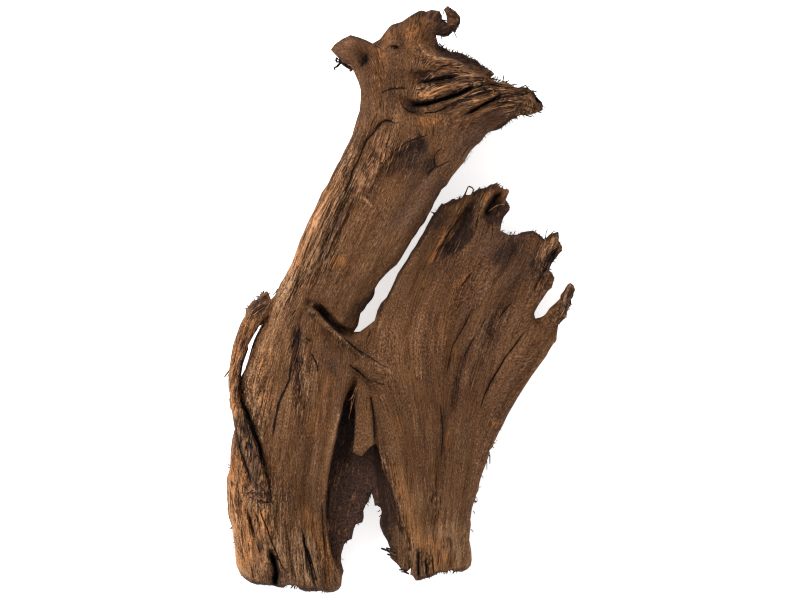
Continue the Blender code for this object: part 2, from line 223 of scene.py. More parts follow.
def cut_blank(name, outline):
    """Cut a flat blank to an outline, with an even mesh."""
    shape = bmesh.new()
    corners = [shape.verts.new((x, y, -BLANK_THICKNESS / 2)) for x, y in to_plan(outline)]
    face = shape.faces.new(corners)
    raised = bmesh.ops.extrude_face_region(shape, geom=[face])
    top = [item for item in raised["geom"] if isinstance(item, bmesh.types.BMVert)]
    bmesh.ops.translate(shape, verts=top, vec=(0, 0, BLANK_THICKNESS))
    bmesh.ops.recalc_face_normals(shape, faces=shape.faces)
    piece = new_piece(name, shape)
    even_grid(piece, BLANK_GRID)
    return piece


# The form of the limbs: water wore both faces into soft swells, and the neck dives under the lobe's lip.
# Each form point has its outline point, then the heights of the upper and of the lower face in millimetres,
# and a smooth surface goes through them. The limbs then grow into one.
EDGE_SHARE = 0.16
THINNEST = 4 * MM
FINE_GRID = 0.00068
form = [
    (333, 50, 46, 26), (350, 48, 52, 26), (385, 42, 56, 26), (415, 22, 57, 32), (445, 18, 58, 38),
    (400, 70, 62, 22), (372, 95, 58, 20), (430, 62, 58, 24), (462, 76, 56, 26), (490, 95, 50, 24),
    (515, 98, 44, 22), (540, 104, 36, 20), (430, 112, 66, 20), (485, 125, 52, 26),
    (370, 135, 66, 24), (400, 140, 72, 22), (435, 150, 66, 24), (468, 145, 56, 30),
    (340, 172, 64, 32), (370, 185, 74, 26), (410, 190, 72, 28), (445, 182, 60, 34),
    (315, 222, 66, 34), (345, 230, 78, 28), (385, 235, 74, 30), (414, 232, 62, 36),
    (292, 268, 68, 36), (320, 275, 80, 30), (350, 280, 77, 30), (382, 272, 66, 38),
    (272, 303, 66, 38), (262, 330, 70, 36), (290, 330, 79, 32), (320, 345, 83, 32),
    (250, 385, 66, 36), (280, 390, 78, 32), (315, 400, 80, 34), (345, 390, 76, 40),
    (238, 440, 52, 30), (270, 450, 70, 30), (305, 460, 72, 34), (332, 465, 64, 42),
    (232, 510, 38, 20), (270, 515, 56, 16), (305, 520, 58, 22), (328, 530, 48, 28),
    (242, 568, 26, 2), (275, 572, 38, -5), (310, 576, 38, -1), (337, 578, 30, 8),
    (356, 340, 70, 42), (375, 372, 74, 40), (400, 320, 60, 42), (425, 380, 67, 42),
    (440, 300, 56, 38), (470, 350, 58, 38), (425, 255, 50, 38), (455, 215, 44, 34),
    (490, 198, 40, 30), (497, 240, 46, 32), (530, 248, 40, 28), (558, 238, 32, 24),
    (530, 290, 44, 28), (512, 330, 48, 28), (552, 330, 32, 20), (572, 288, 28, 20),
    (495, 400, 50, 32), (450, 430, 60, 38), (400, 430, 64, 44), (366, 420, 70, 54),
    (485, 470, 40, 28), (440, 490, 50, 30), (405, 500, 48, 36), (460, 565, 26, 10),
    (425, 572, 28, 12)]
back_form = [
    (358, 385, 42, 30), (340, 430, 36, 26), (365, 440, 48, 34), (330, 490, 36, 26),
    (360, 485, 38, 28), (390, 480, 40, 30), (400, 540, 30, 16), (395, 565, 24, 12),
    (345, 540, 28, 18), (330, 585, 22, 8)]

# Ridges (+) and grooves (-): height in millimetres, half width in outline units, and the line.
ridges = [
    (3.0, 9, [(345, 165), (320, 215), (300, 255), (284, 300), (270, 350), (258, 400)]),
    (-4.0, 3.5, [(352, 192), (340, 215), (328, 240), (322, 262), (314, 285), (308, 300)]),
    (-2.5, 1.8, [(358, 196), (346, 220), (335, 244), (328, 266)]),
    (1.8, 1.8, [(354, 198), (343, 218), (331, 242), (325, 262)]),
    (-2.2, 1.6, [(352, 140), (338, 170), (322, 205), (306, 240), (292, 272)]),
    (2.0, 2.0, [(358, 138), (344, 168), (328, 203), (311, 238), (297, 270), (284, 305)]),
    (-2.2, 1.8, [(390, 136), (376, 158), (366, 178)]),
    (2.0, 1.8, [(396, 138), (383, 158), (371, 180)]),
    (-2.0, 1.8, [(402, 142), (388, 162), (376, 184)]),
    (1.5, 3, [(332, 190), (316, 225), (303, 255), (292, 280), (284, 300)]),
    (-1.5, 2.5, [(341, 185), (324, 218), (312, 245), (300, 275), (290, 300), (284, 330)]),
    (2.6, 2.4, [(352, 196), (360, 197.5), (366, 200), (370, 204), (374, 210)]),
    (-1.8, 1.6, [(356, 194.5), (366, 197), (371.5, 201.5), (376, 208)]),
    (2.0, 5, [(366, 140), (352, 175), (343, 200), (333, 222)]),
    (-3.0, 3, [(400, 122), (390, 122), (380, 124), (366, 141), (354, 169), (341, 205)]),
    (2.0, 4, [(400, 132), (386, 140), (374, 160), (364, 182)]),
    (-3.0, 4, [(430, 140), (412, 148), (396, 160), (386, 185)]),
    (-2.0, 4, [(442, 150), (425, 172), (412, 195)]),
    (2.5, 8, [(455, 150), (430, 190), (400, 235), (372, 275)]),
    (-2.0, 4, [(452, 165), (425, 208), (395, 250)]),
    (-9.5, 2.8, [(400, 100), (415, 105), (430, 104), (445, 100), (460, 94.5), (476, 87.5)]),
    (2.5, 3.5, [(405, 108), (430, 108), (452, 100), (470, 96)]),
    (-4.5, 6.5, [(404, 76), (430, 78), (448, 78), (464, 77)]),
    (-3.5, 1.8, [(412, 84), (424, 83), (440, 81), (456, 78)]),
    (2.0, 1.8, [(414, 80), (430, 78), (446, 75), (462, 73)]),
    (-3.0, 1.8, [(408, 74), (424, 73), (440, 71), (456, 72)]),
    (-3.0, 1.6, [(470, 90), (484, 86), (498, 83)]),
    (2.2, 1.8, [(462, 90), (480, 84), (496, 81), (512, 88)]),
    (-2.5, 1.6, [(490, 92), (504, 88), (520, 92)]),
    (2.2, 1.8, [(470, 96), (488, 90), (506, 86), (524, 93)]),
    (-2.5, 1.6, [(500, 100), (516, 96), (532, 100)]),
    (-2.5, 1.6, [(490, 108), (508, 102), (530, 107)]),
    (-2.0, 1.6, [(478, 118), (496, 111), (514, 106)]),
    (1.8, 1.8, [(470, 114), (488, 106), (506, 100), (524, 102)]),
    (-2.0, 1.6, [(398, 34), (404, 46), (414, 58)]),
    (-1.8, 1.6, [(420, 24), (424, 42), (430, 56)]),
    (1.8, 2.0, [(410, 26), (412, 44), (420, 58)]),
    (2.4, 4.2, [(406, 94), (420, 95), (440, 92), (470, 84)]),
    (-2.0, 1.4, [(410, 93), (430, 92), (450, 88), (466, 84)]),
    (-2.0, 3, [(422, 69), (440, 66), (455, 67), (466, 71)]),
    (2.5, 5, [(400, 45), (420, 52), (440, 58), (462, 66)]),
    (-9.0, 6, [(432, 43), (442, 52), (458, 56), (474, 64), (488, 73)]),
    (2.5, 2, [(412, 40), (421, 47), (426, 54), (434, 59), (452, 60), (470, 67)]),
    (-4.0, 3, [(478, 82), (490, 85), (505, 91)]),
    (-5.0, 2.8, [(462, 114), (470, 112), (480, 107), (492, 101), (503, 96)]),
    (3.0, 4, [(466, 104), (482, 98), (500, 90)]),
    (2.0, 5, [(470, 122), (495, 112), (520, 104), (538, 104)]),
    (-2.5, 1.8, [(400, 110), (420, 115), (445, 110), (455, 104)]),
    (-5.0, 4, [(366, 52), (366, 60), (360, 66)]),
    (2.5, 5, [(338, 46), (352, 50), (360, 58)]),
    (-3.0, 4, [(378, 50), (380, 70), (384, 88)]),
    (2.5, 5, [(396, 35), (390, 55), (390, 80)]),
    (-5.0, 2, [(388, 48), (396, 47), (400, 50)]),
    (-2.5, 4, [(297, 312), (299, 330), (298, 360), (302, 420)]),
    (1.8, 2.2, [(303, 318), (305, 340), (304, 370), (308, 410)]),
    (-1.8, 1.8, [(294, 325), (294, 350), (292, 380)]),
    (-2.0, 1.8, [(309, 322), (312, 345), (311, 380)]),
    (1.5, 3, [(289, 325), (288, 350), (286, 375)]),
    (-2.5, 6, [(312, 420), (306, 470), (300, 520)]),
    (2.0, 6, [(290, 440), (286, 500), (284, 560)]),
    (-2.5, 4, [(268, 415), (268, 450), (276, 500), (280, 540)]),
    (2.0, 5, [(262, 350), (257, 380), (262, 420)]),
    (-2.0, 4, [(335, 350), (333, 380), (328, 420), (322, 460)]),
    (2.0, 5, [(340, 400), (334, 430), (328, 465), (322, 500)]),
    (-12.0, 4.2, [(268, 548), (273, 560), (276, 572), (274, 590)]),
    (-6.0, 1.9, [(302, 528), (305, 545), (309, 560), (312, 578), (316, 592)]),
    (-3.5, 2.4, [(247, 505), (251, 522), (253, 534), (258, 548)]),
    (-3.0, 2, [(285, 520), (290, 550), (294, 585)]),
    (-3.0, 1.8, [(236, 470), (240, 500), (246, 540), (254, 580)]),
    (2.2, 2.0, [(241, 470), (246, 505), (250, 545), (260, 582)]),
    (-2.5, 1.8, [(256, 505), (261, 530), (264, 560)]),
    (2.4, 2.2, [(262, 520), (266, 545), (268, 575)]),
    (-2.5, 1.8, [(310, 500), (314, 530), (322, 570), (326, 588)]),
    (2.2, 2.2, [(314, 515), (320, 545), (330, 582)]),
    (2.0, 2.2, [(282, 540), (286, 565), (288, 584)]),
    (-2.2, 1.8, [(298, 540), (301, 565), (306, 588)]),
    (2.5, 4, [(262, 505), (266, 525), (270, 545)]),
    (-4.0, 3, [(322, 520), (324, 550), (327, 590)]),
    (-3.0, 3, [(240, 520), (243, 550), (248, 580)]),
    (-3.0, 1.2, [(370, 386), (371, 396), (374, 412), (376, 430), (377, 442)]),
    (-8.0, 3.2, [(241, 382), (242, 400), (249, 416), (256, 436), (262, 454), (266, 468), (270, 484)]),
    (-5.0, 2.6, [(234, 422), (238, 438), (244, 456), (249, 474), (253, 492)]),
    (3.5, 4.5, [(314, 314), (326, 324), (342, 337), (358, 349), (376, 363), (396, 376)]),
    (3.0, 3.5, [(308, 308), (313, 311), (317, 315)]),
    (-2.5, 1.8, [(311, 317), (318, 322), (330, 334), (346, 347), (364, 361)]),
    (-3.5, 3.5, [(352, 369), (364, 379), (374, 389), (384, 398)]),
    (-3.0, 5, [(318, 326), (332, 342), (344, 356)]),
    (-2.5, 2.5, [(348, 364), (360, 371), (366, 378), (380, 388)]),
    (-2.0, 2.2, [(527, 330), (520, 338), (512, 349), (500, 366), (490, 383), (484, 396), (481, 408)]),
    (-1.5, 4, [(480, 262), (470, 278), (462, 292), (452, 320), (448, 350), (444, 420)]),
    (2.5, 7, [(500, 260), (480, 320), (462, 390), (452, 470), (450, 550)]),
    (-3.0, 5, [(530, 260), (505, 305), (480, 350), (466, 400)]),
    (-2.5, 3, [(477, 335), (470, 346), (464, 358), (456, 385), (452, 420)]),
    (-2.0, 3, [(473, 309), (461, 331), (451, 350), (446, 375)]),
    (-7.0, 3.5, [(500, 193), (495, 200), (490, 209), (486, 217)]),
    (-5.0, 5, [(501, 199), (498, 207), (494, 216)]),
    (2.5, 3, [(493, 189), (488, 198), (481, 210)]),
    (2.0, 3, [(488, 196), (480, 214), (470, 232)]),
    (-1.5, 3.5, [(444, 400), (442, 440), (437, 500), (432, 560)]),
    (1.5, 4, [(430, 400), (430, 450), (428, 520)]),
    (-4.0, 3, [(558, 246), (548, 262), (540, 278), (530, 300)]),
    (2.5, 3, [(556, 236), (545, 252), (534, 272)]),
    (-3.0, 4, [(520, 240), (505, 268), (490, 290)]),
    (-4.0, 1.9, [(418, 545), (419, 560), (419, 580)]),
    (-4.0, 1.6, [(425, 550), (427, 565), (428, 578)]),
    (-2.5, 1.4, [(431, 552), (433, 566), (434, 576)]),
    (-3.0, 3, [(452, 540), (452, 572)]),
    (-4.5, 6, [(476, 198), (462, 224), (452, 244), (440, 258)]),
    (2.2, 2.5, [(468, 199), (456, 220), (447, 236), (436, 256)]),
    (-2.0, 4, [(545, 345), (520, 380), (500, 410), (485, 450)])]
# Hollows and low knuckles of the underside, in the same way.
hollows_below = [
    (7.0, 12, [(425, 115), (400, 180), (370, 250), (345, 320)]),
    (-4.0, 9, [(365, 120), (335, 190), (305, 255)]),
    (7.0, 14, [(300, 340), (290, 420), (285, 500)]),
    (-4.0, 8, [(325, 360), (320, 440), (312, 510)]),
    (5.0, 9, [(450, 230), (435, 320), (425, 420), (420, 500)]),
    (5.0, 10, [(520, 260), (490, 340), (465, 440)]),
    (-5.0, 8, [(485, 220), (465, 320), (450, 420), (445, 540)]),
    (5.0, 6, [(470, 85), (500, 95), (530, 102)]),
    (-26.0, 15, [(368, 84), (382, 95), (400, 103)]),
    (-7.0, 30, [(366, 84), (382, 97), (398, 112)]),
    (-38.0, 14, [(512, 318), (526, 326), (534, 334)]),
    (-9.0, 28, [(506, 322), (518, 336), (520, 350)])]
# The neck goes down under the lip, and the lip stands over the fan.
dive_under_lip = [(-20.0, 4.0, [(310, 304), (319, 308), (327, 316), (334, 325), (343, 331), (355, 336)]),
                  (-4.0, 10, [(316, 300), (330, 312), (344, 322), (356, 328)])]
lip_over_fan = (5.0, 12, [(340, 331), (355, 344), (370, 356), (385, 366), (402, 377)])
# Where the edges are crisp and not worn round: strength, half width and the line.
crisp = [
    (0.7, 8, [(306, 304), (316, 308), (326, 320), (340, 333), (352, 338)]),
    (0.85, 10, [(354, 382), (344, 404), (336, 440), (327, 490), (328, 540), (336, 570)]),
    (0.85, 8, [(356, 385), (354, 440), (362, 456), (376, 441), (388, 480), (402, 525), (411, 560)]),
    (0.6, 8, [(361, 330), (376, 314), (392, 286), (412, 252), (436, 211)]),
    (0.5, 10, [(497, 184), (506, 197), (508, 210), (501, 228), (530, 232), (560, 236), (550, 268)]),
    (0.5, 10, [(240, 578), (290, 587), (340, 588)]),
    (0.5, 10, [(410, 577), (430, 579), (470, 568)])]


def thin_plate(places, heights, stiffness=0.0):
    """Make a smooth surface through heights at places in plan."""
    def kernel(a, b):
        gap = ((a[:, None, :] - b[None, :, :])**2).sum(axis=2)
        return gap * np.log(gap + 1e-12)

    count = len(places)
    system = np.zeros((count + 3, count + 3))
    system[:count, :count] = kernel(places, places) + stiffness * np.eye(count)
    system[:count, count] = 1.0
    system[:count, count + 1:] = places
    system[count:, :count] = system[:count, count:].T
    weights = np.linalg.solve(system, np.concatenate((heights, np.zeros(3))))

    def field(plan):
        result = np.empty(len(plan))
        for start in range(0, len(plan), 20000):
            part = plan[start:start + 20000]
            result[start:start + 20000] = (
                weights[count] + part @ weights[count + 1:] + kernel(part, places) @ weights[:count])
        return result

    return field


def form_surface(points, column):
    """Make a smooth surface through one column of a list of form points."""
    heights = np.array([point[column] for point in points]) * MM
    return thin_plate(to_plan([point[:2] for point in points]), heights)


def follow(plan, line, closed=False):
    """Give each point's distance from a line, its signed side of it and how far along it is."""
    corners = to_plan(line)
    if closed:
        corners = np.vstack((corners, corners[:1]))
    nearest = np.full(len(plan), 1e9)
    side = np.zeros(len(plan))
    along = np.zeros(len(plan))
    steps = np.linalg.norm(np.diff(corners, axis=0), axis=1)
    passed = 0.0
    for start, end, step in zip(corners[:-1], corners[1:], steps):
        run = (end - start) / step
        offset = plan - start
        travel = np.clip(offset @ run, 0.0, step)
        gap = np.hypot(offset[:, 0] - travel * run[0], offset[:, 1] - travel * run[1])
        closer = gap < nearest
        nearest[closer] = gap[closer]
        side[closer] = (run[0] * offset[:, 1] - run[1] * offset[:, 0])[closer]
        along[closer] = (passed + travel[closer]) / steps.sum()
        passed += step
    return nearest, side, along


def near_line(plan, line, reach):
    """Pick the points that lie within reach of a line's bounding box."""
    corners = to_plan(line)
    low = corners.min(axis=0) - reach
    high = corners.max(axis=0) + reach
    return np.flatnonzero(((plan > low) & (plan < high)).all(axis=1))


def strokes(plan, lines, sharpness=2.0):
    """Add up ridges and grooves, each faded out at its two ends."""
    total = np.zeros(len(plan))
    for height, half_width, line in lines:
        picked = near_line(plan, line, 3.0 * half_width * UNIT)
        gap, _, along = follow(plan[picked], line)
        ends = np.clip(np.minimum(along, 1.0 - along) / 0.2, 0.25, 1.0)
        total[picked] += height * ends * np.exp(-(gap / (half_width * UNIT))**sharpness)
    return total


def lip_step(plan):
    """Lift the lobe's side of the lip and lower the fan's side."""
    height, reach, line = lip_over_fan
    gap, side, along = follow(plan, line)
    ends = np.clip((1.0 - along) / 0.6, 0.0, 1.0) * np.clip(along / 0.1, 0.0, 1.0)
    return -np.tanh(side / (1.2 * UNIT)) * height * MM * ends * np.exp(-gap / (reach * UNIT))


def read_points(piece):
    """Read a piece's points as an array."""
    points = np.empty(len(piece.data.vertices) * 3)
    piece.data.vertices.foreach_get("co", points)
    return points.reshape(-1, 3)


def write_points(piece, points):
    """Write a piece's points back."""
    piece.data.vertices.foreach_set("co", points.ravel())
    piece.data.update()


def shape_limb(piece, outline, upper, lower, edge_radius):
    """Move a blank's two faces to their heights, with the edge worn round."""
    points = read_points(piece)
    plan = points[:, :2]
    gap, _, _ = follow(plan, outline, closed=True)
    reach = edge_radius * UNIT * (1.0 - np.clip(strokes(plan, crisp), 0.0, 0.75))
    inward = np.clip(gap / reach, 0.0, 1.0)
    fullness = EDGE_SHARE + (1.0 - EDGE_SHARE) * np.sqrt(1.0 - (1.0 - inward)**2)
    top = upper(plan)
    bottom = lower(plan)
    share = np.clip(points[:, 2] / (BLANK_THICKNESS / 2), -1.0, 1.0)
    points[:, 2] = (top + bottom) / 2 + share * fullness * np.maximum(top - bottom, THINNEST) / 2
    write_points(piece, points)


upper_form = form_surface(form, 2)
lower_form = form_surface(form, 3)
back_upper = form_surface(back_form, 2)
back_lower = form_surface(back_form, 3)


def underside(plan):
    """Height of the lower face."""
    return lower_form(plan) + strokes(plan, hollows_below) * MM


def sheet_top(plan):
    """Upper face of the lobe, the bridge and the fan."""
    return upper_form(plan) + strokes(plan, ridges) * MM + lip_step(plan)


def trunk_top(plan):
    """Upper face of the head and the neck, which dives under the lobe's lip."""
    return (upper_form(plan) - 1.0 * MM + strokes(plan, ridges) * MM
            + strokes(plan, dive_under_lip[:1], 4.0) * MM + strokes(plan, dive_under_lip[1:]) * MM)


limbs = []
for name, outline, upper, lower, edge_radius in (
        ("trunk", trunk_outline, trunk_top, underside, 20),
        ("sheet", sheet_outline, sheet_top, lambda plan: underside(plan) + 1.0 * MM, 10),
        ("strap", strap_outline, lambda plan: upper_form(plan) + 5.0 * MM,
         lambda plan: upper_form(plan) - 15.0 * MM, 6),
        ("back", back_outline, back_upper, back_lower, 5)):
    outline = roughen(outline, len(limbs))
    limb = cut_blank(name, outline)
    shape_limb(limb, outline, upper, lower, edge_radius)
    limbs.append(limb)

shape = bmesh.new()
for limb in limbs:
    shape.from_mesh(limb.data)
    bpy.data.objects.remove(limb)
driftwood = new_piece("weathered_root", shape)
even_grid(driftwood, FINE_GRID)

# The fibres of the wood: they run from the head through the neck into the lobe, and beside it down the fan.
# Sand and sun wore away the soft wood between them, so the relief is drawn out along them. Each line has how
# far across the root it lies, in millimetres, and its course.
fibre_lines = [
    (0, [(333, 48), (345, 52), (356, 64), (362, 85), (361, 105), (356, 130), (345, 155), (330, 183),
         (314, 212), (302, 240), (293, 263), (282, 284), (270, 306), (262, 326), (253, 352),
         (245, 378), (240, 410), (236, 440), (232, 470), (231, 500), (234, 540), (240, 575)]),
    (8, [(345, 38), (358, 50), (368, 70), (372, 95), (368, 125), (357, 155), (341, 188), (326, 220),
         (313, 250), (301, 280), (287, 312), (275, 348), (264, 388), (257, 425), (252, 465),
         (249, 505), (251, 545), (256, 583)]),
    (17, [(375, 45), (380, 65), (384, 90), (382, 120), (372, 150), (356, 185), (341, 218),
          (328, 250), (314, 284), (300, 315), (289, 350), (280, 395), (274, 435), (269, 478),
          (267, 520), (268, 555), (271, 585)]),
    (25, [(400, 25), (397, 50), (395, 75), (394, 105), (390, 130), (380, 160), (366, 195),
          (352, 228), (339, 258), (324, 288), (311, 312), (303, 345), (297, 385), (290, 430),
          (285, 475), (283, 520), (284, 555), (287, 588)]),
    (34, [(428, 14), (418, 40), (410, 65), (406, 90), (408, 115), (406, 135), (396, 165),
          (382, 198), (368, 230), (353, 262), (338, 292), (324, 318), (318, 350), (313, 390),
          (306, 430), (300, 475), (298, 520), (299, 555), (302, 588)]),
    (39, [(450, 20), (436, 40), (422, 60), (414, 80), (411, 100), (414, 120)]),
    (41.5, [(490, 73), (470, 63), (450, 57), (434, 63), (423, 77), (416, 94), (415, 108)]),
    (44, [(500, 82), (480, 77), (460, 76), (444, 80), (430, 88), (421, 98), (418, 110),
          (424, 128), (424, 146), (412, 175), (398, 205), (383, 235), (366, 266), (350, 296),
          (336, 330), (331, 360), (326, 395), (320, 435), (313, 480), (310, 525), (311, 560), (315, 588)]),
    (48, [(515, 88), (495, 86), (476, 88), (460, 93), (446, 99), (434, 104), (428, 112), (431, 128)]),
    (53, [(530, 94), (512, 91), (494, 93), (476, 99), (460, 105), (446, 110), (440, 120), (440, 142),
          (428, 168), (414, 195), (399, 224), (384, 252), (368, 280), (354, 308), (346, 335),
          (343, 365), (338, 400), (331, 440), (323, 485), (320, 530), (323, 565), (327, 590)]),
    (59, [(541, 104), (520, 101), (500, 103), (482, 109), (466, 116), (457, 130), (452, 148),
          (440, 172), (425, 200), (410, 228), (394, 255), (378, 282), (364, 308), (353, 335),
          (351, 365), (347, 400), (339, 440), (331, 485), (328, 530), (333, 575)]),
    (65, [(540, 110), (520, 112), (502, 117), (486, 124), (474, 134), (463, 150), (451, 172),
          (437, 195), (426, 220), (411, 241), (399, 259), (385, 276), (374, 297), (363, 318),
          (362, 345), (363, 385), (362, 415), (358, 450), (353, 490), (347, 530), (345, 575)]),
    (71, [(372, 380), (373, 415), (371, 455), (372, 490), (376, 530), (380, 565)])]
fan_fibre_lines = [
    (74, [(436, 212), (420, 242), (404, 270), (392, 298), (383, 325), (378, 350), (384, 375),
          (395, 405), (403, 440), (408, 480), (411, 520), (413, 572)]),
    (83, [(455, 202), (440, 235), (422, 270), (408, 305), (401, 340), (404, 375), (411, 410),
          (417, 450), (420, 490), (421, 530), (421, 575)]),
    (92, [(475, 192), (460, 232), (443, 270), (428, 310), (421, 345), (422, 380), (426, 415),
          (429, 450), (430, 490), (430, 530), (429, 575)]),
    (101, [(495, 188), (480, 230), (463, 272), (449, 312), (441, 350), (439, 385), (440, 420),
           (441, 455), (440, 495), (439, 535), (437, 572)]),
    (110, [(510, 236), (494, 268), (478, 302), (465, 338), (457, 372), (453, 410), (450, 450),
           (448, 490), (446, 530), (444, 572)]),
    (119, [(530, 234), (514, 272), (498, 310), (483, 348), (472, 385), (464, 420), (459, 455),
           (456, 495), (453, 535), (451, 572)]),
    (128, [(552, 236), (537, 280), (520, 322), (503, 358), (488, 395), (477, 430), (469, 465),
           (464, 500), (460, 540), (459, 572)]),
    (137, [(572, 288), (562, 318), (548, 348), (528, 378), (510, 408), (494, 438), (481, 472),
           (473, 510), (469, 540), (468, 568)])]
# Where the neck's and the lobe's fibres meet the fan's: in the slit, under the lip, in the splinter's crack.
fibre_seam = [
    (500, 130), (462, 178), (442, 200), (428, 223), (406, 257), (388, 286), (374, 312), (364, 330),
    (366, 345), (376, 357), (380, 368), (375, 382), (372, 400), (374, 425), (376, 445), (380, 480),
    (386, 530), (392, 600)]
# Where the fibres end and turn down: strength, half width in outline units, and the line.
fibre_ends = [
    (1.2, 11, [(236, 570), (262, 586), (290, 587), (320, 592), (344, 588)]),
    (1.2, 11, [(408, 577), (424, 580), (440, 574), (456, 572), (474, 568)]),
    (1.2, 9, [(528, 86), (543, 103), (536, 116)]),
    (1.2, 8, [(383, 34), (402, 20), (430, 9), (446, 14)]),
    (1.2, 8, [(429, 218), (446, 203), (470, 193), (490, 184), (508, 190)]),
    (1.2, 8, [(500, 232), (524, 232), (544, 238), (562, 236)]),
    (1.2, 6, [(566, 286), (576, 286)]),
    (1.2, 12, [(370, 84), (382, 95), (398, 103)]),
    (1.2, 12, [(514, 319), (526, 326), (534, 333)])]
# Where the wood is torn, in the same way.
torn = [
    (1.0, 6, [(438, 12), (446, 9), (458, 18), (456, 31), (442, 34), (436, 40)]),
    (1.0, 6, [(438, 44), (452, 52), (470, 60), (488, 72), (496, 78)]),
    (1.0, 8, [(496, 80), (520, 88), (534, 94), (542, 104), (530, 111), (512, 117)]),
    (0.6, 8, [(480, 130), (500, 124), (512, 118)]),
    (0.8, 6, [(410, 76), (430, 80), (456, 80)]),
    (0.8, 5, [(402, 102), (425, 107), (450, 101), (472, 92)]),
    (0.6, 5, [(338, 60), (348, 66), (358, 64)]),
    (0.6, 12, [(388, 166), (405, 150), (432, 140)]),
    (0.6, 5, [(346, 200), (330, 236), (322, 262), (312, 290)]),
    (1.0, 6, [(249, 308), (258, 299), (269, 293), (272, 302)]),
    (0.7, 5, [(308, 304), (320, 312), (334, 326), (350, 338)]),
    (0.8, 5, [(362, 320), (374, 300), (390, 282)]),
    (1.0, 7, [(440, 204), (462, 195), (486, 187), (502, 187), (508, 196), (504, 222)]),
    (1.0, 6, [(502, 232), (524, 232), (544, 240), (556, 232), (562, 246), (548, 268), (554, 278)]),
    (1.0, 6, [(534, 314), (546, 314), (562, 296), (572, 284), (572, 300), (560, 323)]),
    (0.6, 5, [(502, 190), (494, 208), (484, 226)]),
    (0.7, 4, [(354, 384), (343, 408), (334, 450), (327, 490), (328, 540), (338, 585)]),
    (1.0, 6, [(352, 448), (364, 454), (376, 441)]),
    (0.8, 5, [(376, 442), (388, 480), (400, 515), (410, 545), (412, 572)]),
    (1.0, 7, [(470, 566), (452, 572), (430, 578), (412, 576), (392, 560)]),
    (1.0, 8, [(241, 576), (262, 585), (290, 586), (320, 592), (340, 588)]),
    (0.5, 16, [(262, 540), (300, 550), (330, 560)]),
    (1.0, 6, [(256, 488), (264, 498), (271, 499)]),
    (0.8, 6, [(342, 585), (342, 555), (352, 535), (364, 512), (372, 492), (381, 512), (391, 552)]),
    (0.5, 5, [(471, 550), (476, 498), (490, 452), (505, 420)]),
    (0.5, 4, [(232, 560), (228, 500), (231, 455)])]
# Where the fibres stand out most (+) and least (-).
stringy = [
    (1.0, 15, [(412, 92), (450, 84), (500, 96), (535, 103)]),
    (-0.5, 26, [(404, 22), (392, 48), (384, 76)]),
    (-0.4, 14, [(338, 48), (364, 52)]),
    (0.9, 13, [(362, 128), (342, 175), (320, 225), (300, 270), (282, 312)]),
    (0.9, 9, [(352, 190), (333, 236), (321, 280)]),
    (0.6, 10, [(396, 138), (376, 166), (356, 190)]),
    (0.7, 14, [(264, 335), (256, 400), (250, 450)]),
    (1.0, 8, [(299, 322), (300, 360), (302, 420)]),
    (1.0, 26, [(252, 470), (262, 560)]),
    (0.9, 24, [(308, 535), (318, 580)]),
    (0.9, 8, [(262, 300), (238, 350), (236, 400), (250, 450), (265, 500)]),
    (0.9, 20, [(424, 540), (440, 578)]),
    (0.7, 8, [(380, 446), (396, 500), (410, 550)]),
    (0.6, 18, [(482, 194), (450, 240)]),
    (0.6, 14, [(556, 240), (530, 282)]),
    (0.8, 8, [(572, 288), (560, 322)]),
    (0.5, 6, [(318, 318), (345, 340), (378, 364)]),
    (-0.4, 24, [(352, 420), (352, 480), (346, 550)])]
# The two low knuckles that the root rests on, which are lumpy.
knuckles = [
    (1.2, 20, [(366, 84), (384, 95), (402, 106)]),
    (1.2, 20, [(512, 318), (526, 326), (534, 338)])]

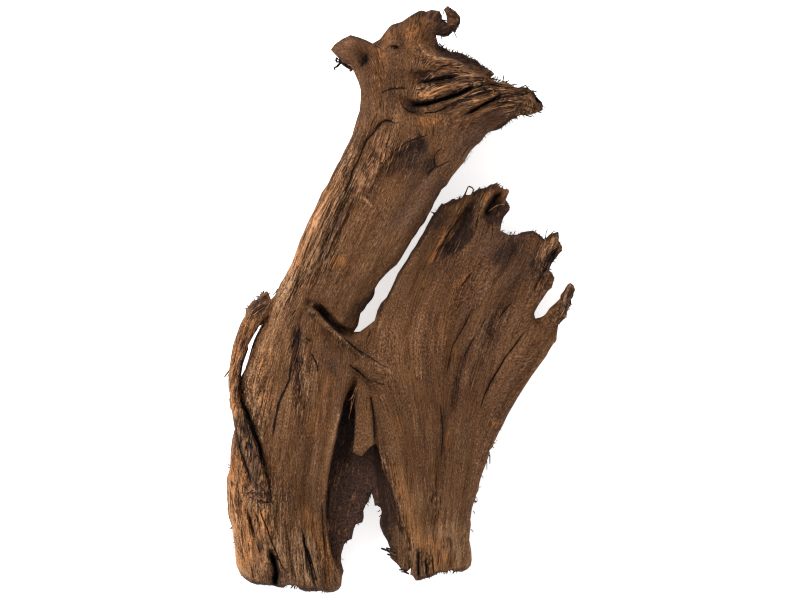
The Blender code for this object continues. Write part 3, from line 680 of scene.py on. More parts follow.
# Open cracks: depth in millimetres, half width in outline units, and the line.
cracks = [
    (5.0, 1.3, [(293, 360), (291.6, 369), (290.3, 380), (286.6, 387), (283, 394), (280, 402), (278, 410),
                (276, 418), (274, 431), (273, 440)]),
    (3.0, 0.9, [(312, 353), (316, 361), (318, 367), (318.5, 373)]),
    (5.0, 1.15, [(401, 122.7), (395.5, 124.6), (391.5, 122.3), (387, 121), (382.5, 122.7), (378, 126.5),
                 (376.3, 130.3), (371.7, 135), (367, 140.2), (364.8, 144.8), (362.5, 151), (360.2, 158),
                 (357.2, 164), (352.6, 171.6), (350.3, 181), (347.2, 187), (345, 194), (341.5, 205)]),
    (2.5, 0.7, [(377, 115), (373, 122), (370.5, 127)]),
    (2.5, 0.8, [(429, 135.7), (420.7, 138), (411.5, 141), (405.4, 144), (400, 148.5), (394.7, 151.7),
                (390, 155.6)]),
    (2.0, 0.7, [(389, 160), (381, 164), (373, 169)]),
    (2.5, 0.7, [(391.6, 135), (389, 141), (385.5, 146)]),
    (2.0, 0.6, [(380, 150), (373, 160), (367, 170)]),
    (2.0, 0.6, [(374, 150), (368, 160), (361, 172)]),
    (2.5, 0.8, [(443, 148.5), (437.5, 151.7), (434, 158), (435, 167), (431, 171), (425, 175)]),
    (2.0, 0.7, [(450, 161), (442, 165), (436, 168)]),
    (1.5, 0.6, [(345, 193), (336, 212), (326, 234), (320, 256)]),
    (2.0, 0.6, [(352, 202), (344, 216), (337, 230)]),
    (2.5, 0.7, [(330, 232), (325, 246), (321, 262)]),
    (2.5, 1.0, [(380, 94), (388, 90.5), (395, 89), (407, 89)]),
    (3.0, 0.9, [(432, 68.4), (438.6, 67.7), (448.5, 65.7), (455.5, 65.7), (459, 70), (465.3, 73)]),
    (3.0, 0.9, [(413, 91), (425, 89.5), (437, 84.5), (452, 81), (465, 79.5)]),
    (4.0, 1.4, [(464, 115), (471, 112.4), (477, 108.8), (483.5, 104.4), (492, 100), (499, 95)]),
    (3.0, 0.9, [(493, 102.5), (501.5, 97.6), (506, 94)]),
    (3.5, 1.2, [(476, 96), (483, 92.4), (490, 89), (497, 85)]),
    (3.0, 0.8, [(478, 89), (485, 84), (491, 80)]),
    (3.0, 0.8, [(482, 91), (488, 86), (494, 83)]),
    (9.0, 1.9, [(412, 107), (421.7, 106), (431, 103.6), (441, 100), (452, 96), (461.5, 93), (469, 88.4),
                (477, 86)]),
    (2.5, 0.8, [(423, 113.5), (434, 113), (442, 110), (448, 106.5)]),
    (2.5, 0.8, [(440, 94), (452, 90.5), (463, 87), (472, 82)]),
    (2.5, 0.7, [(430, 97), (442, 95), (452, 92)]),
    (3.0, 0.9, [(420, 84.5), (430, 81.5), (444, 79), (458, 77)]),
    (2.5, 0.8, [(470, 78), (480, 77.5), (492, 79.5)]),
    (2.5, 0.8, [(474, 83), (484, 82), (496, 86), (506, 88)]),
    (2.5, 0.8, [(500, 92), (510, 91), (520, 93), (528, 96)]),
    (2.5, 0.8, [(508, 107), (518, 108.5), (528, 110.5)]),
    (2.5, 1.0, [(451, 106), (458.5, 101.4), (467.6, 97.5), (474, 95)]),
    (2.5, 0.7, [(400, 102), (404, 108), (408, 112), (416, 114)]),
    (2.5, 0.7, [(500, 104), (510, 101), (518, 103)]),
    (2.5, 0.7, [(519, 106), (528, 106), (537, 109)]),
    (3.5, 1.4, [(530.5, 89), (536, 97), (542, 104)]),
    (2.5, 0.9, [(366, 55), (367.5, 60), (363, 64), (359.5, 68)]),
    (2.5, 0.9, [(394, 49.5), (397, 47.5), (399.5, 47)]),
    (2.5, 0.7, [(374, 46), (379, 47), (384, 52)]),
    (6.0, 0.9, [(370.2, 394), (372.4, 406), (373.8, 417), (374.5, 430), (374.8, 442)]),
    (3.0, 0.8, [(349, 364), (354, 367.7), (359.3, 371), (363.8, 376), (366, 379)]),
    (2.0, 0.7, [(373, 379), (378.4, 383), (386, 384.5)]),
    (4.0, 1.2, [(342, 335.5), (346, 339), (351, 344), (359.3, 351), (366, 354)]),
    (2.5, 0.7, [(366, 354), (376.5, 361.3), (386, 367)]),
    (2.5, 0.7, [(370.2, 328), (370, 333), (368.6, 337)]),
    (4.0, 0.8, [(472, 273), (467, 279), (461, 287)]),
    (2.0, 0.6, [(473, 309), (469, 316), (461, 331), (453, 345), (450, 356), (447, 372)]),
    (2.5, 0.7, [(488, 315), (484, 321), (480, 328)]),
    (2.5, 0.7, [(475, 336), (471, 343), (467, 350), (464, 358)]),
    (4.5, 0.8, [(527, 330), (520, 338), (512, 349), (504, 359), (497, 371), (490, 383), (484, 396),
                (480, 410)]),
    (2.5, 0.7, [(512, 302), (507, 308), (502, 314), (499, 319)]),
    (2.5, 0.8, [(560, 245), (552, 256), (548, 262), (543, 267)]),
    (4.0, 1.2, [(501.5, 192), (495.2, 198), (489, 206.8), (485, 215.7)]),
    (3.0, 1.0, [(468.4, 205.5), (457, 221.5), (449.2, 232.3), (443, 244), (438, 253.3), (433.4, 264)]),
    (4.0, 1.1, [(418, 550), (418, 565), (419, 578)]),
    (4.0, 1.1, [(425, 556), (426, 568), (427, 577)]),
    (3.0, 0.8, [(432, 552), (433, 564), (434, 575)]),
    (5.0, 0.9, [(257, 499), (262, 515), (267, 527.6), (271, 540), (276, 552), (281, 564.5), (287.6, 575)]),
    (4.0, 0.9, [(247.4, 512), (250, 520), (253, 530), (255, 538)]),
    (3.0, 1.0, [(256, 541), (260, 553), (262, 566)]),
    (8.0, 2.4, [(269.5, 551), (274, 561), (276.5, 572), (275, 587)]),
    (5.0, 1.1, [(303, 536), (306, 552), (308.5, 566), (311, 580)]),
    (4.0, 1.0, [(301.6, 527.6), (304.2, 538), (305.2, 547), (306.5, 564), (308, 576)]),
    (4.0, 1.0, [(304.6, 545), (309.3, 554.3), (314.4, 572), (317, 584)]),
    (3.0, 0.7, [(322, 500), (323, 530), (326, 560)]),
    (2.0, 0.7, [(440, 402), (443, 430), (441, 460)]),
    (2.0, 0.7, [(436, 470), (436, 500), (434, 530)]),
    (2.5, 0.9, [(300, 325), (299, 338), (300, 350)]),
    (2.5, 0.7, [(295, 357), (299, 362), (304, 362)]),
    (2.5, 0.7, [(306.5, 337.5), (309, 340), (312, 341)]),
    (2.5, 0.8, [(297, 310), (294, 313), (292, 315)]),
    (3.0, 0.9, [(235.3, 426), (239, 442), (242.3, 453.6), (246, 464), (248.7, 472.7),
                (252, 483), (253.6, 490)]),
    (5.0, 1.6, [(240.4, 398), (243, 405), (247.4, 413), (253.4, 430.6), (258.5, 442),
                (261, 455), (264.5, 470)]),
    (4.0, 1.0, [(264.6, 470), (268, 476.5), (270.5, 488), (272.5, 500)]),
    (3.0, 0.9, [(260, 498.5), (263, 501.5), (268, 502), (272, 501)]),
    (3.0, 0.8, [(244, 415), (249, 432), (253, 447), (257, 460)]),
    (3.0, 0.8, [(240, 416), (245, 434), (250, 452), (254, 466)]),
    (2.5, 1.0, [(230, 478), (232, 482), (233, 487)]),
    (2.5, 1.3, [(252, 315), (257, 313), (263, 308), (269, 304)]),
    (3.0, 1.0, [(257, 302), (262, 298), (267, 296)])]
FIBRE_STEP = 9
SEAM_WIDTH = 7
OPEN_CRACK = 1.4


def across_fibres(lines):
    """Make a surface whose level lines are the lines of fibres."""
    places = []
    levels = []
    for level, line in lines:
        corners = to_plan(line)
        for start, end in zip(corners[:-1], corners[1:]):
            count = max(1, round(np.linalg.norm(end - start) / (FIBRE_STEP * UNIT)))
            for step in range(count):
                places.append(start + (end - start) * step / count)
                levels.append(level * MM)
    return thin_plate(np.array(places), np.array(levels), stiffness=2e-7)


def on_grid(field, step=2.0):
    """Work a plan field out on a grid and give a quick reader of it."""
    xs = np.arange(220, 585, step)
    ys = np.arange(-5, 602, step)
    grid_x, grid_y = np.meshgrid(xs, ys)
    values = field(to_plan(np.column_stack((grid_x.ravel(), grid_y.ravel()))))
    values = values.reshape(grid_x.shape)

    def reader(plan):
        column = np.clip((plan[:, 0] / UNIT + MIDDLE[0] - xs[0]) / step, 0, len(xs) - 1.001)
        row = np.clip((MIDDLE[1] - plan[:, 1] / UNIT - ys[0]) / step, 0, len(ys) - 1.001)
        i = column.astype(int)
        j = row.astype(int)
        right = column - i
        down = row - j
        top = values[j, i] * (1 - right) + values[j, i + 1] * right
        bottom = values[j + 1, i] * (1 - right) + values[j + 1, i + 1] * right
        return top * (1 - down) + bottom * down

    return reader


neck_level = on_grid(across_fibres(fibre_lines))
fan_level = on_grid(across_fibres(fan_fibre_lines))


def fibre_level(plan):
    """Level of the fibres: the neck's on one side of the seam, the fan's on the other."""
    gap, side, _ = follow(plan, fibre_seam)
    past = np.clip(0.5 + np.sign(side) * gap / (SEAM_WIDTH * UNIT), 0.0, 1.0)
    return neck_level(plan) * (1.0 - past) + fan_level(plan) * past


def noise(points, seed):
    """Smooth random values from about -1 to 1, one unit of points to a wave."""
    table = np.random.RandomState(seed).permutation(256)
    table = np.concatenate((table, table))
    slopes = np.random.RandomState(seed + 1).normal(size=(256, 3))
    slopes /= np.linalg.norm(slopes, axis=1)[:, None]
    cell = np.floor(points).astype(int)
    inside = points - cell
    cell &= 255
    blend = inside**3 * (inside * (inside * 6 - 15) + 10)
    total = np.zeros(len(points))
    for corner in range(8):
        step = np.array([corner & 1, corner >> 1 & 1, corner >> 2 & 1])
        index = (cell + step) & 255
        slope = slopes[table[table[table[index[:, 0]] + index[:, 1]] + index[:, 2]]]
        weight = np.where(step, blend, 1.0 - blend).prod(axis=1)
        total += weight * ((inside - step) * slope).sum(axis=1)
    return total * 1.6


points = read_points(driftwood)
plan = points[:, :2].copy()
normals = np.empty(len(points) * 3)
driftwood.data.vertices.foreach_get("normal", normals)
normals = normals.reshape(-1, 3)
below = points[:, 2] - upper_form(plan)
turned = np.clip(strokes(plan, fibre_ends), 0.0, 1.0)
grain = np.column_stack((fibre_level(plan), points[:, 1] + turned * below, (1.0 - turned) * below / 3.0))
frayed = np.clip(strokes(plan, torn), 0.0, 1.0)
stringiness = np.clip(strokes(plan, stringy), -0.3, 1.0)
fibrous = np.clip(stringiness, 0.0, 1.0)


def fibres(width, length, seed, sharp=False):
    """Random relief drawn out along the fibres, width and length in millimetres."""
    waves = noise(grain / (np.array([width, length, width]) * MM), seed)
    return 1.0 - 2.0 * np.abs(waves) if sharp else waves


def store(piece, name, values):
    """Keep a value or a vector for each point of a piece, for its material."""
    is_vector = values.ndim == 2
    attribute = piece.data.attributes.new(name, "FLOAT_VECTOR" if is_vector else "FLOAT", "POINT")
    attribute.data.foreach_set("vector" if is_vector else "value", values.ravel())


# Relief in millimetres: flutes, bundles of fibres, lumps, fine checks and torn ends.
up = np.clip(normals[:, 2] * 3.0, 0.0, 1.0)
crack_depth = strokes(plan, [crack for crack in cracks if crack[1] >= OPEN_CRACK], 3.0) * up
flutes = (0.35 + 0.3 * up + 0.35 * fibrous) * (0.75 * fibres(9.0, 110.0, 11) + 0.42 * fibres(4.5, 60.0, 21))
bundles = (0.18 + 0.8 * fibrous) * fibres(3.0, 45.0, 31, sharp=True) + 0.25 * fibres(1.7, 14.0, 41)
lumps = (0.3 + 0.3 * up) * noise(points / (14 * MM), 51) + 0.3 * noise(points / (5 * MM), 52)
checks = np.clip(fibres(3.0, 50.0, 61) - 0.55 + 0.25 * fibrous, 0.0, 1.0) * (2.0 + 4.0 * fibrous)
low = np.clip((30 * MM - points[:, 2]) / (10 * MM), 0.0, 1.0)
knuckle = low * np.clip(strokes(plan, knuckles), 0.0, 1.0)
lumps += knuckle * (2.6 * noise(points / (11 * MM), 53) + 1.3 * noise(points / (4.5 * MM), 54))
tearing = frayed * (1.1 * fibres(2.4, 12.0, 71) + 0.6 * noise(points / (2.2 * MM), 72) - 0.2)
relief = flutes + bundles + lumps - checks + tearing
points += normals * (relief * MM)[:, None]
points[:, 2] -= crack_depth * MM
points[:, 2] = np.clip(points[:, 2], 0.0, None)
write_points(driftwood, points)
groove = np.clip(strokes(plan, ridges), -5.0, 3.0) * up
for name, values in (("relief", relief - crack_depth), ("torn", frayed), ("fibrous", stringiness),
                     ("groove", groove), ("knuckle", knuckle), ("grain", grain)):
    store(driftwood, name, values)

# Thin the mesh out, less where it shows most: on the upper face and where the wood is torn.
MOST_TRIANGLES = 197000
SHOWN_STEPS = 10
shown = driftwood.vertex_groups.new(name="shown")
level = np.clip(0.5 + 0.5 * normals[:, 2] + 0.3 * frayed, 0.0, 1.0)
for step in range(SHOWN_STEPS + 1):
    picked = np.flatnonzero(np.round(level * SHOWN_STEPS) == step)
    shown.add(picked.tolist(), 1.0 - step / SHOWN_STEPS, "REPLACE")
driftwood.data.calc_loop_triangles()
fewer = driftwood.modifiers.new("Fewer", "DECIMATE")
fewer.ratio = MOST_TRIANGLES / len(driftwood.data.loop_triangles)
fewer.vertex_group = "shown"
fewer.vertex_group_factor = 0.35
bake_modifiers(driftwood)
driftwood.data.shade_smooth()

# How far each point lies from the nearest crack, in half widths, and on which side, for thin dark lines of
# painted shade in the cracks.
FAR_FROM_CRACKS = 4.0
points = read_points(driftwood)
plan = points[:, :2]
crack_side = np.full(len(plan), FAR_FROM_CRACKS)
crack_near = np.zeros(len(plan))
nearest = np.full(len(plan), 1e9)
for depth, half_width, line in cracks:
    picked = near_line(plan, line, 8 * UNIT)
    gap, side, along = follow(plan[picked], line)
    ends = np.clip(np.minimum(along, 1.0 - along) / 0.12, 0.0, 1.0)
    strength = ends * np.exp(-(gap / (4 * UNIT))**2) * min(1.0, 0.4 + depth / 8)
    closer = gap < nearest[picked]
    chosen = picked[closer]
    nearest[chosen] = gap[closer]
    crack_side[chosen] = (np.sign(side) * gap / (half_width * UNIT))[closer]
    crack_near[chosen] = strength[closer]
store(driftwood, "crack_side", crack_side)
store(driftwood, "crack_near", crack_near)

# The colours of the wood: dry root wood, dull brown, bleached on its high fibres and rusty where it stayed
# damp. The dark stains are partly the wood's own dark patches and partly painted shade in its crevices,
# cracks, grooves and hollows and along its shaded edges and broken ends. Each stain is drawn: strength, half
# width in outline units and the line.
dark_stain_and_crevice_shade = [
    (0.8, 4, [(408, 74), (420, 78), (440, 76), (462, 76)]),
    (1.0, 3.5, [(422, 84), (430, 81), (442, 79)]),
    (0.8, 2.1, [(403, 102), (410, 108), (421.7, 106), (431, 103.6), (441, 100), (452, 96), (462, 92.6)]),
    (0.6, 2.2, [(440, 100), (452, 96), (462, 92.6), (470, 88.5), (478, 86)]),
    (0.8, 2.2, [(448, 107), (458.5, 101.5), (468, 98), (474, 96)]),
    (0.7, 6, [(404, 106), (412, 109), (422, 110)]),
    (0.4, 9, [(424, 112), (440, 108), (452, 108)]),
    (0.85, 6, [(428, 40), (440, 50), (456, 56), (472, 63), (492, 76)]),
    (0.5, 3, [(436, 42), (450, 51), (466, 57), (484, 70)]),
    (0.9, 3.2, [(529, 88), (536, 96), (542, 104), (540, 112)]),
    (0.6, 3, [(510, 84), (519, 88), (528, 89)]),
    (0.5, 8, [(474, 128), (490, 120), (510, 112)]),
    (0.6, 3, [(520, 115), (508, 122), (496, 130), (484, 138), (474, 148)]),
    (0.8, 3, [(366, 54), (367.5, 59), (363, 65)]),
    (0.7, 3, [(394, 50), (397, 48), (400, 47)]),
    (0.8, 5, [(372, 44), (380, 42), (384, 38)]),
    (0.6, 3, [(330, 50), (338, 58), (346, 63), (356, 70)]),
    (0.6, 3, [(334, 43), (350, 35), (366, 40), (378, 42)]),
    (1.0, 6, [(412, 13), (428, 13), (440, 18), (440, 28)]),
    (1.3, 8, [(430, 34), (440, 32), (450, 33), (458, 28), (460, 20), (456, 12), (444, 4)]),
    (0.6, 3, [(386, 32), (396, 22), (410, 15), (420, 11)]),
    (0.7, 5.5, [(391, 159), (400, 153), (412, 147), (428, 140)]),
    (0.8, 6, [(402, 160), (414, 154), (428, 146)]),
    (0.6, 9, [(376, 176), (396, 168), (424, 164), (440, 160)]),
    (0.6, 4, [(433, 158), (434, 167), (424, 176)]),
    (0.4, 4, [(349, 200), (340, 215), (327, 240), (318, 262)]),
    (0.6, 2.5, [(456, 172), (440, 193), (424, 223), (404, 254), (388, 270)]),
    (1.0, 2.5, [(312, 304), (319, 309), (324, 315), (330, 322), (336, 328), (342, 333), (348, 338)]),
    (1.0, 3.5, [(350, 334), (354, 326), (360, 313), (366, 304), (374, 294), (386, 276)]),
    (0.5, 4, [(342, 330), (348, 320), (356, 308), (364, 297)]),
    (0.6, 2.2, [(346, 339), (356, 348), (366, 355), (378, 362)]),
    (0.8, 3, [(305, 306), (308, 312), (313, 316), (319, 315)]),
    (0.5, 5, [(296, 326), (297, 345), (298, 362)]),
    (0.7, 2.5, [(300, 328), (302, 338)]),
    (0.6, 3, [(306, 338), (312, 341)]),
    (0.7, 3, [(293, 358), (299, 361), (306, 362)]),
    (0.6, 3, [(268, 347), (267, 356), (265, 364)]),
    (0.45, 8, [(326, 358), (332, 366), (330, 376)]),
    (0.4, 3, [(291, 362), (291, 378), (283, 393), (276, 417)]),
    (0.6, 2.5, [(285, 453), (290, 457)]),
    (0.75, 4, [(251, 312), (256, 305), (262, 300), (269, 296)]),
    (0.8, 3, [(249, 311), (256, 314), (264, 308), (269, 304)]),
    (0.9, 2.5, [(247, 352), (243, 363), (240, 375), (239.5, 390), (241, 400)]),
    (0.6, 2.5, [(260, 326), (254, 338), (248, 352)]),
    (0.85, 2.2, [(240, 396), (244, 406), (249, 416), (255, 432), (260, 446), (263, 460)]),
    (0.4, 5, [(250, 462), (256, 478), (263, 496)]),
    (0.8, 5, [(256, 482), (261, 490), (266, 498)]),
    (0.45, 4.5, [(242, 414), (247, 432), (252, 450), (257, 466)]),
    (0.8, 2, [(235, 424), (242, 453), (249, 474), (253, 490)]),
    (0.6, 3, [(230, 478), (233, 486)]),
    (0.45, 26, [(488, 200), (512, 244), (546, 290)]),
    (0.25, 14, [(452, 160), (424, 210), (398, 252)]),
    (0.7, 1.2, [(370, 392), (374, 412), (375, 442)]),
    (1.1, 5.0, [(478, 196), (470, 212), (464, 228), (455, 242), (444, 256)]),
    (1.5, 5.0, [(473, 226), (465, 238), (456, 248), (446, 256)]),
    (0.9, 4, [(472, 196), (480, 190), (492, 186), (500, 188)]),
    (0.7, 2.5, [(426, 224), (432, 219), (442, 208), (456, 201), (470, 194)]),
    (0.6, 7, [(430, 232), (442, 219), (452, 208)]),
    (0.9, 2.5, [(436, 213), (428, 228), (414, 250), (402, 268), (390, 292), (378, 314), (362, 331)]),
    (1.0, 3.5, [(501, 192), (495, 198), (489, 207), (485, 216)]),
    (0.9, 5, [(502, 200), (499, 208), (494, 218), (488, 226)]),
    (0.7, 3, [(509, 192), (508, 206), (503, 220), (501, 230)]),
    (0.8, 2.5, [(501, 231), (518, 234), (534, 231), (544, 239), (558, 233), (562, 247)]),
    (0.6, 7, [(520, 240), (504, 250), (490, 268)]),
    (0.8, 3, [(560, 246), (550, 260), (541, 274)]),
    (0.5, 2.5, [(562, 250), (553, 264), (552, 284)]),
    (0.5, 3, [(573, 287), (570, 300)]),
    (0.6, 2, [(550, 290), (538, 306), (534, 318)]),
    (0.4, 3.5, [(444, 400), (443, 430), (443, 462)]),
    (0.3, 3, [(475, 336), (467, 350), (460, 372)]),
    (1.0, 3.0, [(268, 550), (273, 560), (276, 572), (274, 588)]),
    (0.7, 2.2, [(304, 536), (307, 550), (310, 564), (314, 578), (316, 592)]),
    (0.5, 2, [(248, 512), (252, 526), (258, 542), (262, 562)]),
    (0.9, 3.5, [(236, 570), (242, 578), (252, 585), (275, 588), (300, 590), (320, 593), (340, 590)]),
    (0.9, 3, [(411, 578), (424, 580), (440, 574), (456, 573), (472, 568)]),
    (0.5, 2, [(286, 566), (289, 584)]),
    (0.6, 2.2, [(480, 91), (492, 87), (502, 83)]),
    (0.8, 2.0, [(419, 548), (419, 580)]),
    (0.7, 1.7, [(426, 556), (427, 578)]),
    (0.6, 3, [(405, 576), (396, 566), (390, 556)]),
    (0.8, 1.8, [(355, 380), (347, 394), (340, 424), (331, 466), (326.5, 500), (328, 535), (334, 566)]),
    (0.6, 1.8, [(379, 448), (388, 478), (398, 508), (402, 530), (410, 545), (411, 570)])]
rust = [
    (0.7, 9, [(345, 160), (325, 205), (305, 245), (288, 285)]),
    (0.8, 5, [(392, 130), (384, 148), (372, 168), (362, 182)]),
    (0.7, 6, [(412, 122), (430, 122), (446, 118)]),
    (0.9, 6, [(330, 268), (338, 262), (346, 258)]),
    (0.8, 5, [(414, 98), (430, 95), (450, 89), (468, 84)]),
    (0.9, 3.5, [(473, 107), (486, 98), (499, 88)]),
    (0.9, 5, [(518, 99), (528, 104), (536, 108)]),
    (0.6, 10, [(402, 38), (412, 32), (424, 32)]),
    (0.95, 14, [(234, 440), (236, 500), (244, 550), (258, 584)]),
    (0.5, 14, [(270, 335), (263, 375), (266, 420)]),
    (0.7, 7, [(262, 504), (266, 530), (272, 548)]),
    (0.7, 8, [(300, 500), (320, 540), (334, 585)]),
    (1.0, 5, [(252, 318), (250, 326), (244, 338)]),
    (0.9, 5, [(244, 330), (237, 352), (234, 372), (234, 400), (239, 420)]),
    (0.5, 2.4, [(464, 201), (458, 214), (448, 229), (441, 240), (432, 256)]),
    (0.8, 4, [(436, 248), (428, 264)]),
    (0.6, 4, [(490, 190), (484, 202)]),
    (0.9, 4, [(493, 423), (499, 426)]),
    (0.6, 2, [(449, 428), (447, 446)]),
    (0.6, 2.5, [(439, 500), (438, 532)]),
    (0.6, 6, [(398, 412), (398, 440)]),
    (0.6, 10, [(384, 450), (396, 480), (408, 510), (420, 560)]),
    (0.4, 14, [(330, 350), (325, 400), (310, 450)]),
    (0.8, 14, [(428, 530), (440, 560), (446, 590)]),
    (0.3, 12, [(470, 260), (450, 310), (430, 360)]),
    (0.4, 10, [(392, 20), (378, 60), (372, 110)])]
ash = [
    (0.8, 4, [(430, 82), (442, 82), (456, 79)]),
    (0.9, 8, [(394, 160), (410, 152), (430, 142)]),
    (0.8, 5, [(242, 408), (248, 430), (254, 450), (260, 474)]),
    (1.2, 5, [(573, 287), (562, 318)]),
    (0.5, 6, [(362, 322), (372, 300)]),
    (0.6, 6, [(297, 320), (298, 360), (300, 400)]),
    (0.4, 8, [(345, 205), (330, 240), (318, 275)]),
    (0.5, 8, [(326, 358), (332, 368)]),
    (0.5, 30, [(470, 225), (500, 245), (530, 290)]),
    (0.3, 45, [(440, 290), (490, 340), (470, 420)]),
    (0.6, 16, [(440, 160), (416, 196), (392, 240)]),
    (0.6, 12, [(496, 126), (470, 140), (450, 160)]),
    (0.4, 14, [(350, 340), (336, 380), (330, 430)]),
    (0.5, 5, [(486, 80), (500, 86), (528, 92)])]
bare = [
    (0.9, 2.2, [(416, 114), (434, 112.5), (442.4, 109.7), (450, 105)]),
    (1.0, 1.6, [(450, 104), (458.5, 99.4), (469, 95), (477, 91)]),
    (1.0, 2.5, [(431, 77), (435, 75), (440, 74)]),
    (0.9, 1.5, [(413, 89.5), (425.6, 88), (431, 84), (438.6, 81.2), (452, 79), (465, 78), (468, 73),
                (471, 68)]),
    (0.55, 1.6, [(411, 38), (419.6, 45), (424, 53), (429.5, 58), (454, 60), (468, 65)]),
    (0.9, 1.4, [(473, 107.5), (486, 100), (499, 91)]),
    (0.8, 5, [(523, 104), (530, 108), (536, 110)]),
    (0.9, 2.0, [(393, 131), (385, 146), (376, 162), (366, 176)]),
    (0.9, 1.6, [(386, 138), (378, 152), (370, 166), (361, 180)]),
    (0.8, 1.5, [(391.6, 155), (398, 151.5), (404, 149.4)]),
    (0.7, 5, [(372, 170), (360, 184), (352, 196)]),
    (0.9, 1.6, [(353, 196.5), (361, 197.5), (367, 200.5), (374, 210)]),
    (0.8, 3, [(559, 234), (550, 244), (542, 254)]),
    (0.45, 7, [(350, 150), (330, 195), (308, 240), (290, 280)]),
    (0.5, 6, [(332, 200), (318, 230), (306, 256)]),
    (0.7, 1.8, [(380, 446), (388, 474), (397, 500), (406, 528)]),
    (0.5, 3, [(345, 390), (338, 420), (332, 450)]),
    (0.35, 6, [(318, 345), (316, 380), (310, 420)]),
    (0.35, 8, [(500, 300), (480, 350), (465, 400)]),
    (0.3, 8, [(425, 300), (415, 340), (420, 390)]),
    (0.7, 1.6, [(320, 314), (324, 320), (331, 328), (340, 336)]),
    (0.6, 3, [(272, 345), (273, 352)]),
    (0.8, 1.6, [(236, 406), (238, 424), (243, 440), (247, 456)]),
    (0.8, 1.4, [(262, 458), (264, 466), (264.5, 472)]),
    (0.7, 1.3, [(258, 507), (264, 506), (270, 512)]),
    (0.8, 1.4, [(257, 307), (263, 303), (269, 300)]),
    (0.6, 9, [(228, 470), (234, 520), (244, 570)]),
    (0.4, 5, [(355, 45), (345, 42)])]
# Where the colour is made lighter (+) or darker (-) without another hue: partly the wood's own tone, partly
# painted highlight on the left foot and on rims that catch the lamp.
light = [
    (3.1, 27, [(222, 460), (232, 510), (242, 590)]),
    (0.8, 7, [(246, 440), (254, 470), (261, 492)]),
    (0.8, 22, [(250, 500), (262, 530), (270, 580)]),
    (2.2, 17, [(298, 520), (308, 560), (314, 590)]),
    (0.5, 10, [(334, 480), (332, 530)]),
    (1.6, 16, [(234, 335), (228, 390), (228, 430)]),
    (0.5, 14, [(258, 300), (284, 300)]),
    (0.4, 16, [(264, 335), (262, 370), (262, 430)]),
    (0.5, 12, [(292, 380), (286, 420)]),
    (0.6, 12, [(330, 410), (328, 450), (322, 500)]),
    (1.2, 16, [(338, 210), (316, 246), (292, 285)]),
    (0.6, 14, [(386, 230), (374, 262), (360, 290)]),
    (0.5, 12, [(404, 116), (400, 126)]),
    (0.4, 10, [(424, 62), (450, 68)]),
    (-1.6, 20, [(386, 30), (410, 20), (432, 16)]),
    (-1.0, 14, [(344, 50), (366, 50), (382, 50)]),
    (-0.8, 20, [(384, 66), (384, 104)]),
    (-0.6, 14, [(440, 108), (456, 108)]),
    (-1.3, 15, [(510, 118), (484, 130), (462, 146)]),
    (1.7, 9, [(416, 96), (446, 91), (470, 84)]),
    (-0.4, 12, [(372, 176), (368, 196)]),
    (-0.6, 16, [(396, 176), (420, 180)]),
    (-0.5, 22, [(416, 262), (446, 268), (470, 262)]),
    (-0.3, 20, [(480, 240), (500, 270)]),
    (-0.5, 20, [(540, 300), (548, 340)]),
    (0.3, 10, [(572, 288), (562, 318)]),
    (-0.9, 36, [(476, 270), (452, 440)]),
    (-0.4, 18, [(430, 430), (436, 500)]),
    (-0.5, 20, [(500, 280), (520, 300)]),
    (0.9, 16, [(384, 460), (402, 500), (416, 560)]),
    (2.3, 30, [(430, 516), (440, 560), (444, 614)]),
    (-0.6, 8, [(244, 340), (240, 380)]),
    (-0.3, 9, [(256, 480), (266, 500)]),
    (-0.9, 14, [(290, 470), (294, 560)])]
# The dark inner wood behind the cavity: partly its own darker wood and partly painted shade in the recess,
# deeper where the wood sinks further below the upper face; and its black upper end, painted shadow in the
# deep hole.
inner_wood_and_recess_shade = [(1.3, 34, [(356, 380), (360, 480), (368, 590)])]
black_recess_shade = [(1.0, 13, [(352, 388), (345, 425), (337, 475)])]


def colour(hexadecimal):
    """Turn an sRGB hex colour into linear colour."""
    parts = [int(hexadecimal[i:i + 2], 16) / 255 for i in (1, 3, 5)]
    return [c / 12.92 if c <= 0.04045 else ((c + 0.055) / 1.055)**2.4 for c in parts] + [1.0]


def add_node(tree, kind, inputs=None, output=0, **settings):
    """Add a shader node, set it up, link or fill its inputs and give one of its outputs."""
    node = tree.nodes.new("ShaderNode" + kind)
    for key, value in settings.items():
        setattr(node, key, value)
    for key, value in (inputs or {}).items():
        if isinstance(value, bpy.types.NodeSocket):
            tree.links.new(value, node.inputs[key])
        else:
            node.inputs[key].default_value = value
    return node.outputs[output] if node.outputs else node


def set_ramp(ramp, stops):
    """Give a colour ramp its stops."""
    elements = ramp.node.color_ramp.elements
    elements[0].position, elements[0].color = stops[0][0], colour(stops[0][1])
    elements[1].position, elements[1].color = stops[-1][0], colour(stops[-1][1])
    for place, tint in stops[1:-1]:
        elements.new(place).color = colour(tint)


def grain_noise(tree, width, length, detail=3.0):
    """Noise from about -1 to 1 drawn out along the fibres, width and length in millimetres."""
    along = add_node(tree, "Attribute", output="Vector", attribute_name="grain")
    waves_per_metre = (1000 / width, 1000 / length, 1000 / width)
    scaled = add_node(tree, "VectorMath", {0: along, 1: waves_per_metre}, operation="MULTIPLY")
    waves = add_node(tree, "TexNoise", {
        "Vector": scaled, "Scale": 1.0, "Detail": detail, "Roughness": 0.6}, output="Fac")
    return add_node(tree, "MapRange", {
        "Value": waves, "From Min": 0.35, "From Max": 0.65, "To Min": -1.0, "To Max": 1.0}, clamp=False)


def weigh(tree, start, *terms):
    """Add weighted values to a start value."""
    total = start
    for share, value in terms:
        total = add_node(tree, "Math", {0: value, 1: share, 2: total}, operation="MULTIPLY_ADD")
    return total


